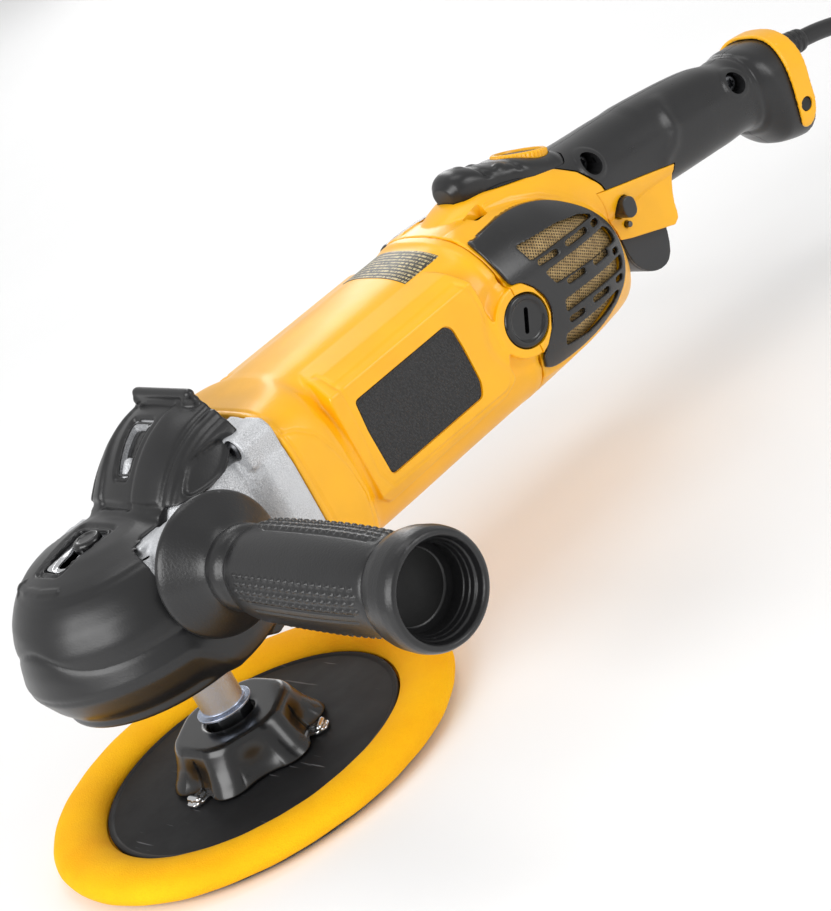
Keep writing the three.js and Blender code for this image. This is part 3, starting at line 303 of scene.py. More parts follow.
def prism(outline, from_y, to_y, name="tool"):
    """A prism whose outline lies in the XZ plane."""
    return extruded(name, outline, (from_y, to_y), lambda x, z, y: (x, y, z))


def column(outline, from_z, to_z, name="tool"):
    """A column whose outline lies in the XY plane."""
    return extruded(name, outline, (from_z, to_z), lambda x, y, z: (x, y, z))


def block(x0, x1, y0, y1, z0, z1, name="tool"):
    return slab([(y0, z0), (y1, z0), (y1, z1), (y0, z1)], x0, x1, name)


def cubic(a, b, c, d, t):
    """A point between b and c on the smooth curve through four points."""
    bend, twist = 2 * a - 5 * b + 4 * c - d, 3 * b - a - 3 * c + d
    return 0.5 * (2 * b + (c - a) * t + bend * t ** 2 + twist * t ** 3)


def flowing(outline, per=6):
    """A smooth closed outline through the given points."""
    p = np.array(outline, float)
    p = np.vstack([p[-1:], p, p[:2]])
    t = np.arange(per)[:, None] / per
    out = [cubic(*four, t) for four in zip(p, p[1:], p[2:], p[3:])]
    return [tuple(q) for q in np.vstack(out)]


def curve_through(points, per=4):
    """Points of a smooth open curve."""
    p = np.array(points, float)
    p = np.vstack([2 * p[0] - p[1], p, 2 * p[-1] - p[-2]])
    out = [cubic(*four, t) for four in zip(p, p[1:], p[2:], p[3:]) for t in np.arange(per) / per]
    return out + [p[-2]]


def dense(points, step):
    """A line of points with more points put on it, without its last one."""
    out = []
    for a, b in zip(points, points[1:]):
        a, b = np.array(a, float), np.array(b, float)
        count = max(1, int(np.linalg.norm(b - a) / step))
        out += [a + (b - a) * k / count for k in range(count)]
    return out


def chamfered(outline, radius=1.5, steps=4):
    """A closed outline with rounded corners."""
    closed = [outline[-1]] + list(outline) + [outline[0]]
    return [tuple(p) for p in rounded(closed, radius, steps)[1:-1]]


def pill(centre, length, width, slope=0.0, steps=8):
    """A slot outline with round ends, turned by a slope in radians."""
    half = length / 2 - width / 2
    out = []
    for side in (1, -1):
        for k in range(steps + 1):
            a = side * math.pi / 2 - k / steps * math.pi
            out.append((side * half + width / 2 * math.cos(a), width / 2 * math.sin(a)))
    c, s = math.cos(slope), math.sin(slope)
    return [(centre[0] + u * c - v * s, centre[1] + u * s + v * c) for u, v in out]


def capsule(start, end, radius, segments=24, rows=8):
    """A rod with round ends between two points."""
    a, b = Vector(start), Vector(end)
    length = (b - a).length
    profile = [(0, -radius)]
    for k in range(1, rows + 1):
        t = k / rows * math.pi / 2
        profile.append((radius * math.sin(t), -radius * math.cos(t)))
    for k in range(rows):
        t = k / rows * math.pi / 2
        profile.append((radius * math.cos(t), length + radius * math.sin(t)))
    piece = lathe("tool", profile + [(0, length + radius)], segments=segments)
    piece.data.transform(Matrix.Translation(a) @ (b - a).to_track_quat("Z", "Y").to_matrix().to_4x4())
    return piece


def ellipsoid(centre, radii, segments=48, rows=24):
    profile = [(math.sin(k / rows * math.pi), -math.cos(k / rows * math.pi)) for k in range(rows + 1)]
    piece = lathe("tool", profile, segments=segments)
    piece.data.transform(Matrix.Translation(centre) @ Matrix.Diagonal((*radii, 1)))
    return piece


# ---- joining, cutting, softening ----
def apply_modifiers(piece):
    graph = bpy.context.evaluated_depsgraph_get()
    mesh = bpy.data.meshes.new_from_object(piece.evaluated_get(graph))
    piece.modifiers.clear()
    piece.data = mesh
    return piece


def combined(piece, operation, others):
    for other in others:
        step = piece.modifiers.new("step", "BOOLEAN")
        step.solver = "MANIFOLD"
        step.operation = operation
        step.object = other
    apply_modifiers(piece)
    for other in others:
        bpy.data.objects.remove(other)
    return piece


def cut(piece, *others):
    return combined(piece, "DIFFERENCE", others)


def join(piece, *others):
    return combined(piece, "UNION", others)


def keep_inside(piece, other):
    return combined(piece, "INTERSECT", [other])


def copy_of(piece, name="tool"):
    twin = piece.copy()
    twin.data = piece.data.copy()
    twin.name = name
    bpy.context.scene.collection.objects.link(twin)
    return twin


def softened(piece, voxel=VOXEL, rounds=3):
    """The same body with its edges rounded like a moulding."""
    remesh = piece.modifiers.new("remesh", "REMESH")
    remesh.mode = "VOXEL"
    remesh.voxel_size = voxel
    if rounds:
        smooth = piece.modifiers.new("smooth", "SMOOTH")
        smooth.factor = 0.5
        smooth.iterations = rounds
    return apply_modifiers(piece)


def sculpted(piece, field):
    """Moves each point along its normal by field(points, normals)."""
    mesh = piece.data
    points = np.empty(len(mesh.vertices) * 3)
    normals = np.empty(len(mesh.vertices) * 3)
    mesh.vertices.foreach_get("co", points)
    mesh.vertex_normals.foreach_get("vector", normals)
    points, normals = points.reshape(-1, 3), normals.reshape(-1, 3)
    moved = points + normals * field(points, normals)[:, None]
    mesh.vertices.foreach_set("co", moved.ravel())
    mesh.update()
    return piece


def ramp(low, high, x):
    t = np.clip((x - low) / (high - low), 0, 1)
    return t * t * (3 - 2 * t)


def from_line(points, line):
    """Distance of 2-D points from a line of points."""
    best = np.full(len(points), 1e9)
    for a, b in zip(line, line[1:]):
        a, d = np.array(a, float), np.array(b, float) - np.array(a, float)
        t = np.clip(((points - a) @ d) / (d @ d), 0, 1)
        best = np.minimum(best, np.linalg.norm(points - a - t[:, None] * d, axis=1))
    return best


def depth_inside(points, outline):
    """How far 2-D points lie inside a closed outline, negative outside."""
    closed = list(outline) + [outline[0]]
    inside = np.zeros(len(points), bool)
    for (ax, ay), (bx, by) in zip(closed, closed[1:]):
        if ay == by:
            continue
        crosses = (ay > points[:, 1]) != (by > points[:, 1])
        inside ^= crosses & (points[:, 0] < (bx - ax) * (points[:, 1] - ay) / (by - ay) + ax)
    distance = from_line(points, closed)
    return np.where(inside, distance, -distance)


def groove(distance, width, depth):
    return -depth * np.exp(-(distance / width) ** 2)


# ---- materials ----
def linear(*srgb):
    """Linear colour from 0..255 display values."""
    return tuple(((c / 255 + 0.055) / 1.055) ** 2.4 if c > 10 else c / 255 / 12.92 for c in srgb)


class Nodes:
    """A short way to write a material's node tree."""

    def __init__(self, name):
        self.material = bpy.data.materials.new(name)
        self.material.use_nodes = True
        self.tree = self.material.node_tree
        self.shader = self.tree.nodes["Principled BSDF"]
        self.place = self.add("ShaderNodeTexCoord").outputs["Object"]

    def add(self, kind, **settings):
        node = self.tree.nodes.new(kind)
        for key, value in settings.items():
            setattr(node, key, value)
        return node

    def link(self, a, b):
        self.tree.links.new(a, b)

    def put(self, **values):
        for key, value in values.items():
            if isinstance(value, tuple) and len(value) == 3:
                value = (*value, 1)
            self.shader.inputs[key.replace("_", " ")].default_value = value

    def scaled(self, scale):
        node = self.add("ShaderNodeMapping")
        node.inputs["Scale"].default_value = scale
        self.link(self.place, node.inputs["Vector"])
        return node.outputs["Vector"]

    def noise(self, scale, detail=3.0, rough=0.55, source=None):
        node = self.add("ShaderNodeTexNoise")
        self.link(source or self.place, node.inputs["Vector"])
        node.inputs["Scale"].default_value = scale
        node.inputs["Detail"].default_value = detail
        node.inputs["Roughness"].default_value = rough
        return node.outputs["Fac"]

    def voronoi(self, scale, feature="F1"):
        node = self.add("ShaderNodeTexVoronoi", feature=feature)
        self.link(self.place, node.inputs["Vector"])
        node.inputs["Scale"].default_value = scale
        return node.outputs["Distance"]

    def base(self, tone):
        self.link(tone, self.shader.inputs["Base Color"])

    def rough(self, value):
        self.link(value, self.shader.inputs["Roughness"])

    def combine(self, operation, a, b):
        node = self.add("ShaderNodeMath", operation=operation)
        self.link(a, node.inputs[0])
        self.link(b, node.inputs[1])
        return node.outputs[0]

    def cloudy(self, scale, detail, low, high, a, b):
        """Two looks mixed by a soft noise."""
        return self.mixed(self.ramped(self.noise(scale, detail), low, high), a, b)

    def ramped(self, value, low, high, out_low=0.0, out_high=1.0):
        node = self.add("ShaderNodeMapRange")
        self.link(value, node.inputs["Value"])
        for key, number in (("From Min", low), ("From Max", high), ("To Min", out_low),
                            ("To Max", out_high)):
            node.inputs[key].default_value = number
        return node.outputs["Result"]

    def mixed(self, fac, a, b):
        node = self.add("ShaderNodeMix", data_type="RGBA")
        self.link(fac, node.inputs["Factor"])
        for socket, value in ((node.inputs[6], a), (node.inputs[7], b)):
            if isinstance(value, tuple):
                socket.default_value = (*value[:3], 1)
            else:
                self.link(value, socket)
        return node.outputs[2]

    def edges(self, low=0.52, high=0.6):
        """One where the surface is a sharp outer edge, which handling wears."""
        geometry = self.add("ShaderNodeNewGeometry")
        return self.ramped(geometry.outputs["Pointiness"], low, high)

    def bump(self, height, strength, distance):
        node = self.add("ShaderNodeBump")
        node.inputs["Strength"].default_value = strength
        node.inputs["Distance"].default_value = distance
        self.link(height, node.inputs["Height"])
        return node

    def bumps(self, *layers):
        """Chains bump layers of (height, strength, distance) into the shader's normal."""
        last = None
        for height, strength, distance in layers:
            node = self.bump(height, strength, distance)
            if last:
                self.link(last.outputs["Normal"], node.inputs["Normal"])
            last = node
        self.link(last.outputs["Normal"], self.shader.inputs["Normal"])


def plastic(name, color, roughness, grain=0.25, grain_scale=1500, spread=0.1, worn=None, coat=0.0):
    """Moulded plastic or rubber: fine grain, slight colour drift, edges rubbed a little."""
    n = Nodes(name)
    dark = tuple(c * (1 - spread) for c in color)
    light = tuple(min(1, c * (1 + spread)) for c in color)
    tone = n.cloudy(38, 4, 0.3, 0.7, dark, light)
    if worn:
        rub = n.combine("MULTIPLY", n.edges(), n.ramped(n.noise(160, 5), 0.45, 0.7))
        tone = n.mixed(rub, tone, worn)
    n.base(tone)
    smudge = n.ramped(n.noise(60, 5, 0.6), 0.3, 0.75, roughness * 0.88, min(1, roughness * 1.16))
    n.rough(smudge)
    n.put(Coat_Weight=coat, Coat_Roughness=0.12)
    n.bumps((n.noise(grain_scale, 2), grain, 0.00012), (n.noise(90, 2), 0.08, 0.0004))
    return n.material


def metal(name, color, roughness, scratches=0.3, stretch=(1, 1, 1), spread=0.12, metallic=1.0):
    n = Nodes(name)
    n.base(n.cloudy(55, 4, 0.3, 0.7, tuple(c * (1 - spread) for c in color), color))
    lines = n.noise(1400, 3, 0.6, n.scaled(stretch))
    n.rough(n.ramped(lines, 0.25, 0.8, roughness * 0.7, roughness * 1.4))
    n.put(Metallic=metallic)
    n.bumps((lines, scratches, 0.00004))
    return n.material


def cast_metal():
    n = Nodes("sand_cast_aluminium")
    fine = n.noise(1900, 3, 0.7)
    tone = n.mixed(n.ramped(fine, 0.35, 0.7), linear(150, 151, 154), linear(236, 237, 239))
    n.base(n.cloudy(45, 4, 0.35, 0.7, tone, linear(208, 210, 213)))
    n.rough(n.ramped(n.noise(260, 4), 0.3, 0.7, 0.34, 0.55))
    n.put(Metallic=0.5)
    n.bumps((fine, 0.6, 0.0003), (n.noise(330, 3), 0.35, 0.0006))
    return n.material


def foam_material():
    n = Nodes("yellow_foam")
    cells = n.voronoi(1700)
    tone = n.cloudy(30, 5, 0.3, 0.7, linear(246, 172, 4), linear(255, 192, 10))
    pores = n.mixed(n.ramped(cells, 0.0, 0.32), linear(232, 152, 4), tone)
    n.base(pores)
    n.put(Roughness=0.82, Specular_IOR_Level=0.2, Subsurface_Weight=0.08)
    n.shader.inputs["Subsurface Radius"].default_value = (0.004, 0.002, 0.0006)
    n.bumps((cells, 0.35, 0.0003), (n.noise(420, 3), 0.25, 0.0004), (n.noise(40, 3), 0.3, 0.0015))
    return n.material


def hook_material():
    n = Nodes("hook_fabric")
    loops = n.voronoi(900)
    tone = n.mixed(n.ramped(loops, 0.05, 0.5), linear(62, 62, 66), linear(18, 18, 20))
    n.base(tone)
    n.put(Roughness=0.85, Sheen_Weight=0.3)
    n.bumps((loops, 0.9, 0.0008))
    return n.material


def scratched_black():
    """Satin black disc with faint circular rubbing and a few scratches."""
    n = Nodes("satin_black_disc")
    drift = n.cloudy(26, 4, 0.35, 0.7, linear(26, 26, 27), linear(38, 38, 39))
    streak = n.ramped(n.noise(34, 2, 0.5, n.scaled((1.0, 22.0, 1.0))), 0.7, 0.745)
    n.base(n.mixed(streak, drift, linear(92, 92, 94)))
    n.rough(n.ramped(n.noise(70, 5), 0.3, 0.75, 0.4, 0.54))
    n.put(Specular_IOR_Level=0.1)
    n.bumps((n.noise(900, 3), 0.12, 0.0001), (streak, 0.2, 0.0002))
    return n.material


def label_material():
    """Dark stamped label with a pebbled grain."""
    n = Nodes("pebbled_label")
    pebble = n.voronoi(1150)
    tone = n.mixed(n.ramped(pebble, 0.1, 0.6), linear(46, 46, 48), linear(18, 18, 19))
    n.base(tone)
    n.put(Roughness=0.42)
    n.bumps((pebble, 0.75, 0.0005))
    return n.material


def mesh_material():
    """Fine bronze cloth: two sets of crossing threads with dark gaps between them."""
    n = Nodes("bronze_wire")
    turned = n.add("ShaderNodeMapping")
    turned.inputs["Rotation"].default_value = (0.62, 0, 0)
    n.link(n.place, turned.inputs["Vector"])
    threads = []
    for direction in ("Y", "Z"):
        wave = n.add("ShaderNodeTexWave", wave_type="BANDS", bands_direction=direction)
        wave.inputs["Scale"].default_value = 250
        n.link(turned.outputs["Vector"], wave.inputs["Vector"])
        threads.append(wave.outputs["Fac"])
    crossing = n.combine("MAXIMUM", *threads)
    drift = n.cloudy(240, 3, 0.3, 0.7, linear(150, 122, 76), linear(196, 166, 112))
    n.base(n.mixed(n.ramped(crossing, 0.3, 0.85), linear(40, 30, 16), drift))
    n.put(Metallic=0.25, Roughness=0.42)
    n.bumps((crossing, 0.6, 0.0003), (n.noise(900, 2), 0.15, 0.0001))
    return n.material


def rating_material():
    """Small rating plate: dark bands and fine pale rules, with no lettering."""
    n = Nodes("rating_plate")
    rule = n.add("ShaderNodeTexWave", wave_type="BANDS", bands_direction="Y", wave_profile="SAW")
    n.link(n.place, rule.inputs["Vector"])
    rule.inputs["Scale"].default_value = 150
    dash = n.noise(2600, 2, 0.5, n.scaled((1.0, 0.12, 0.2)))
    ink = n.combine("MULTIPLY", n.ramped(rule.outputs["Fac"], 0.45, 0.5), n.ramped(dash, 0.47, 0.53))
    n.base(n.mixed(ink, linear(42, 40, 34), linear(205, 188, 138)))
    n.put(Roughness=0.4)
    n.bumps((n.noise(1200, 2), 0.1, 0.0001))
    return n.material


YELLOW = linear(250, 180, 6)
MATERIALS = {
    "yellow": plastic("yellow_housing", YELLOW, 0.32, 0.16, 1500, 0.06, linear(250, 190, 76), coat=0.1),
    "rubber": plastic("black_rubber", linear(27, 27, 28), 0.32, 0.3, 1300, 0.15, linear(70, 70, 72)),
    "black": plastic("black_plastic", linear(30, 30, 31), 0.3, 0.3, 1200, 0.15, linear(66, 66, 68)),
    "grain": plastic("grained_black", linear(28, 28, 29), 0.31, 0.7, 1000, 0.15, linear(78, 78, 80)),
    "grey": plastic("dark_grey_plastic", linear(44, 45, 47), 0.36, 0.3, 1400, 0.1, linear(90, 90, 94)),
    "grille": plastic("grille_black", linear(26, 26, 27), 0.26, 0.15, 1400, 0.1, linear(36, 36, 37),
                      coat=0.2),
    "gloss": plastic("gloss_black", linear(14, 14, 15), 0.25, 0.03, 700, 0.1, coat=0.25),
    "cord": plastic("cord_rubber", linear(24, 24, 25), 0.38, 0.25, 1500, 0.12),
    "steel": metal("bright_steel", linear(216, 217, 219), 0.17, 0.1, (1, 1, 12)),
    # The blue tint in the chrome's colour is painted reflection: a cool sheen that offsets the warm
    # light bounced from the foam.
    "chrome": metal("chrome_sleeve", linear(182, 192, 212), 0.24, 0.05, (1, 1, 12), 0.04, 0.85),
    "dark_steel": metal("dark_steel", linear(96, 97, 100), 0.32, 0.3, (1, 8, 1)),
    "copper": metal("copper", linear(196, 120, 72), 0.3, 0.3, (1, 9, 1)),
    # Near-black painted shade, used for the floor of the deep cup in the side handle's end ring.
    "shade": plastic("painted_shade_black", linear(7, 7, 7), 0.7, 0.4, 900, 0.15),
    "carbon": plastic("carbon", linear(26, 26, 27), 0.62, 0.4, 900, 0.15),
    "cast": cast_metal(),
    "foam": foam_material(),
    "hooks": hook_material(),
    "disc": scratched_black(),
    "label": label_material(),
    "wire": mesh_material(),
    "rating": rating_material(),
}


def settled(piece, name, body, finish, replaced=(), angle=38):
    """Scales a finished piece to metres, gives it its material and puts it on its body."""
    piece.name = name
    piece.data.name = name
    piece.data.transform(Matrix.Scale(MM, 4))
    piece.data.shade_smooth()
    piece.data.set_sharp_from_angle(angle=math.radians(angle))
    piece.data.materials.clear()
    piece.data.materials.append(MATERIALS[finish])
    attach(piece, body)
    if replaced:
        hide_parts(*replaced)
    return piece


# ---- camera ----
CAMERA_PLACE = (0.99706, -0.45124, 0.51557)
CAMERA_TURN = (59.665, 21.573, 28.706)  # azimuth, downward tilt and roll, in degrees


def make_camera():
    """The view from the front left and above, with the camera rolled to the left."""
    data = bpy.data.cameras.new("camera")
    data.lens = 118.55
    data.sensor_width = 36
    data.clip_start = 0.05
    camera = bpy.data.objects.new("camera", data)
    bpy.context.scene.collection.objects.link(camera)
    azimuth, elevation, roll = (math.radians(degrees) for degrees in CAMERA_TURN)
    forward = Vector((-math.sin(azimuth) * math.cos(elevation), math.cos(azimuth) * math.cos(elevation),
                      -math.sin(elevation)))
    level = forward.cross(Vector((0, 0, 1))).normalized()
    upright = level.cross(forward)
    up = upright * math.cos(roll) + level * math.sin(roll)
    right = forward.cross(up)
    turn = Matrix((right, up, -forward)).transposed()
    camera.matrix_world = Matrix.Translation(CAMERA_PLACE) @ turn.to_4x4()
    bpy.context.scene.camera = camera


# ---- cord ----
def coil_path():
    """Turns from the outside inwards on the floor, then outwards again on top of them."""
    inner = COIL_OUTER - (COIL_COLUMNS - 1) * CORD_PITCH
    radii = [COIL_OUTER - k * CORD_PITCH for k in range(COIL_COLUMNS)]
    radii += [inner + k * CORD_PITCH for k in range(COIL_COLUMNS)]
    heights = [FLOOR_HEIGHT] * COIL_COLUMNS + [FLOOR_HEIGHT + CORD_PITCH] * COIL_COLUMNS
    turns = 2 * COIL_COLUMNS - 1 + 0.25
    points = []
    for i in range(int(turns * COIL_TURN_POINTS) + 1):
        turn = i / COIL_TURN_POINTS
        k = min(int(turn), 2 * COIL_COLUMNS - 1)
        later = min(k + 1, 2 * COIL_COLUMNS - 1)
        share = float(ramp(0.72, 1.0, turn - k))
        r = radii[k] + (radii[later] - radii[k]) * share
        z = heights[k] + (heights[later] - heights[k]) * share
        a = turn * 2 * math.pi
        points.append(np.array([COIL_X + r * math.cos(a), COIL_Y + r * math.sin(a), z]))
    return points


def tube(name, path, radius, sides=14):
    """A round tube along a path, with its section carried along without twisting."""
    path = np.array(path, float)
    along = np.gradient(path, axis=0)
    along /= np.linalg.norm(along, axis=1)[:, None]
    side = np.cross(along[0], (0, 0, 1))
    side /= np.linalg.norm(side)
    angle = np.arange(sides) / sides * 2 * math.pi
    rings = []
    for point, direction in zip(path, along):
        side = side - direction * (side @ direction)
        side /= np.linalg.norm(side)
        other = np.cross(direction, side)
        rings.append(point + radius * (np.outer(np.cos(angle), side) + np.outer(np.sin(angle), other)))
    return skinned(name, rings)


def make_plug():
    """Three pin plug lying beside the coil, its pins along -X."""
    place = (PLUG_X, COIL_Y + COIL_OUTER, PLUG_HEIGHT)
    profile = rounded([(0, 0), (5.6, 0), (6.2, 10), (7.6, 22), (11.6, 27), (11.8, 47), (10.8, 50),
                       (0, 50)], 1.6)
    body = lathe("plug", profile, segments=64)
    grips = [block(-2.4, 2.4, side * 12.6 - 1.4, side * 12.6 + 1.4, h, h + 1.6)
             for side in (-1, 1) for h in (29, 33, 37, 41)]
    body = softened(cut(body, *grips), FINE, 2)
    pins = []
    for y in (-6.35, 6.35):
        blade = slab(chamfered([(y - 0.75, 49), (y + 0.75, 49), (y + 0.75, 67), (y - 0.75, 67)], 0.5),
                     -3.2, 3.2)
        pins.append(blade)
    pins.append(capsule((-7, 0, 49.5), (-7, 0, 66.5), 2.4))
    turn = Matrix(((0, 0, -1), (0, 1, 0), (1, 0, 0))).to_4x4()
    made = []
    for k, piece in enumerate([body, *pins]):
        piece.data.transform(Matrix.Translation(place) @ turn)
        name = "plug_body" if k == 0 else f"plug_pin_{k}"
        finish = "cord" if k == 0 else "steel"
        made.append(settled(piece, name, "tool", finish, ["plug"] if k == 0 else []))
    return made


def make_relief():
    """Tapered sleeve with rings moulded round its thin half."""
    profile = [(0, 0), (8, 0), (8, 7.5), (7.4, 9.5), (6.7, 13)]
    for k in range(4):
        h = 14 + 3.6 * k
        r = 6.5 - 0.25 * k
        profile += [(r, h), (r - 0.6, h + 0.6), (r - 0.6, h + 1.4), (r - 0.15, h + 2.0)]
    profile += [(5.3, 29), (4.7, RELIEF_LENGTH), (0, RELIEF_LENGTH)]
    piece = lathe("strain_relief", rounded(profile, 0.5, 3), "Y", segments=56)
    piece.data.transform(RELIEF_TURN)
    return settled(piece, "strain_relief_sleeve", "tool", "cord", ["strain_relief"])


def make_cord():
    coil = coil_path()
    leave = np.array([PLUG_X + 2, COIL_Y + COIL_OUTER, PLUG_HEIGHT])
    lead_out = [coil[-1] + (leave - coil[-1]) * t for t in (0.25, 0.5, 0.75, 1.0)]
    lead_in = [np.array([ENTRY_X, ENTRY_Y + (COIL_Y - ENTRY_Y) * t, FLOOR_HEIGHT])
               for t in (0.25, 0.5, 0.75)]
    path = curve_through(CORD_ROUTE, 3) + lead_in + coil + lead_out
    piece = tube("mains_cord", path, CORD_RADIUS)
    others = [*make_plug(), make_relief()]
    settled(piece, "mains_cord", "tool", "cord", ["cord", "cord_coil"], 60)
    tie_coil()


def tie_coil():
    """A strap round one side of the coil."""
    half = COIL_COLUMNS / 2 * CORD_PITCH
    middle = (COIL_X - COIL_MID, FLOOR_HEIGHT + CORD_PITCH / 2)
    outline = chamfered([(-half - 1.1, -8.2), (half + 1.1, -8.2), (half + 1.1, 9.0),
                         (-half - 1.1, 9.0)], 4, 6)
    inside = chamfered([(-half - 0.2, -8.0), (half + 0.2, -8.0), (half + 0.2, 8.2), (-half - 0.2, 8.2)],
                       3.6, 6)
    strap = prism(outline, COIL_Y - 6, COIL_Y + 6)
    cut(strap, prism(inside, COIL_Y - 9, COIL_Y + 9))
    strap.data.transform(Matrix.Translation((middle[0], 0, middle[1])))
    settled(strap, "coil_tie", "tool", "carbon")


# ---- pad, hub and spindle ----
def make_foam():
    curve = [(66.4, 4.4), (66.3, 7.0), (67.2, 9.0), (69.6, 11.0), (73.4, 12.5), (78.5, 13.1),
             (83.6, 12.5), (87.4, 10.9), (89.6, 8.4), (89.9, 6.2), (88.6, 3.7), (85.5, 2.2), (82, 1.9)]
    outer = [tuple(p) for p in curve_through([(r, 0, z) for r, z in curve], 4)]
    profile = [(0, 4.4)] + [(r, z) for r, _, z in outer] + [(0, 1.9)]
    foam = lathe("foam", profile, segments=288)

    def lumps(points, normals):
        angle = np.arctan2(points[:, 1], points[:, 0])
        wave = 0.12 * np.sin(5 * angle + 0.4) + 0.08 * np.sin(13 * angle + 2.1)
        wave += 0.05 * np.sin(29 * angle)
        return wave * ramp(66, 72, np.hypot(points[:, 0], points[:, 1]))

    sculpted(foam, lumps)
    settled(foam, "foam_pad", "spindle", "foam", ["pad_foam"])


def make_backing():
    """The hook fabric under the foam and the stiff disc on top of it."""
    hooks = lathe("hooks", rounded([(0, 0), (82.6, 0), (83, 0.8), (82.6, 1.6), (0, 1.6)], 0.3),
                  segments=192)
    settled(hooks, "hook_disc", "spindle", "hooks", ["hook_layer"])
    dish = [(0, 4.6), (65.3, 4.6), (65.5, 7.2), (64.9, 7.5), (63.6, 7.3), (62.8, 6.9), (50, 7.2),
            (38, 7.5), (36, 7.5), (0, 7.5)]
    disc = lathe("disc", rounded(dish, 0.5), segments=256)
    settled(disc, "backing_plate", "spindle", "disc", ["backing_disc"])


def make_hub():
    """A bell with six soft lobes, slit at its foot for three steel clips."""
    profile = rounded([(0, 7.8), (30.6, 7.8), (31.6, 8.8), (30.6, 11), (28.8, 14), (27.4, 17.5),
                       (26.4, 21), (25.4, 24.4), (24.2, 26.2), (22.6, HUB_TOP), (12.6, HUB_TOP),
                       (11.4, 26.4), (10.6, 25.4), (10.5, 22), (0, 22)], 1.4, 5)

    def lobes(angle, radius, height):
        share = ramp(15, 24, radius)
        low = 1 - ramp(8, 26, height)
        wave = np.cos(6 * (angle - HUB_TURN))
        lobe = 1 + share * (0.03 + 0.07 * low) * np.sign(wave) * np.abs(wave) ** 0.8
        slit = (3 * (angle - HUB_TURN - math.pi / 2) / (2 * math.pi) + 0.5) % 1.0 - 0.5
        return radius * lobe - share * 1.8 * np.exp(-(slit / 0.012) ** 2) * (1 - ramp(17, 23, height))

    hub = lathe("hub", dense(profile, 0.9) + [profile[-1]], segments=480, shape=lobes)
    cut(hub, cylinder(SHAFT_BORE, 0, 30))
    settled(hub, "clamp_hub_cap", "spindle", "gloss", ["clamp_hub"], 60)


def make_hub_clips():
    """Steel tabs that hook into the three slits at the foot of the hub."""
    for k in range(3):
        angle = HUB_TURN + math.pi / 2 + k * 2 * math.pi / 3
        tab = chamfered([(27, -4.6), (33, -4.6), (36.4, -2.4), (36.4, 2.4), (33, 4.6), (27, 4.6)], 1.6)
        clip = column(tab, 7.9, 9.3)
        join(clip, capsule((33.2, -2.6, 10), (33.2, 2.6, 10), 1.5),
             capsule((29, 0, 9.6), (33.4, 0, 9.8), 1.6))
        softened(clip, 0.3, 4)
        clip.data.transform(Matrix.Rotation(angle, 4, "Z"))
        settled(clip, f"hub_clip_{k + 1}", "spindle", "steel")


def hexagon(radius, low, high, name="tool"):
    outline = [(radius * math.cos(k * math.pi / 3),
                radius * math.sin(k * math.pi / 3)) for k in range(6)]
    return column(outline, low, high, name)


def make_spindle():
    nut = hexagon(9.6, 22.3, 30.3)
    keep_inside(nut, lathe("cone", [(0, 21), (8.6, 22.2), (9.7, 23.4), (9.7, 29.2), (8.6, 30.4),
                                    (0, 31)]))
    cut(nut, ring(6.0, SHAFT_BORE, 22, 31), cylinder(SHAFT_BORE, 0, 40))
    settled(softened(nut, 0.3, 2), "hex_nut", "spindle", "dark_steel", ["pad_nut"])
    profile = rounded([(6.3, 30.6), (11.8, 30.6), (11.8, 31.8), (9.6, 32), (9.2, 32.4), (9.2, 55),
                       (10.5, 55.4), (10.5, 62), (6.3, 62)], 0.35, 4) + [(6.3, 30.6)]
    sleeve = lathe("sleeve", profile, segments=128)
    settled(sleeve, "chrome_sleeve", "spindle", "chrome", ["spindle_sleeve"])
    shaft = lathe("shaft", rounded([(0, 7.8), (6, 7.8), (6, 107), (0, 107)], 0.8), segments=64)
    settled(shaft, "spindle_shaft", "spindle", "dark_steel", ["spindle"])


# ---- gear case and its rubber boot ----
NOSE = [(0, 61), (42, 61), (47, 63), (50, 70), (51.3, 80), (51, 90), (49.8, 98), (46.8, 105),
        (42.5, 111), (38, 115.6), (35.5, 117), (30, 118.9), (18, 121.8), (0, 123)]
BAND_X = -3  # middle of the raised band and of the windows on top of the head


def head_form(grow, tail=()):
    profile = []
    for i, (r, z) in enumerate(NOSE):
        if i in (0, len(NOSE) - 1):
            profile.append((0, z + (grow if i else -grow)))
            continue
        lift = max(-1, min(1, (z - 92) / 31))
        profile.append((r + grow * (1 if i < 2 else 0.9), z + grow * lift))
    dome = lathe("dome", rounded(profile, 2.0, 4), at=(0, NOSE_Y, 0), segments=160)
    return join(dome, loft("lobe", [*LOBE, *tail], grow))


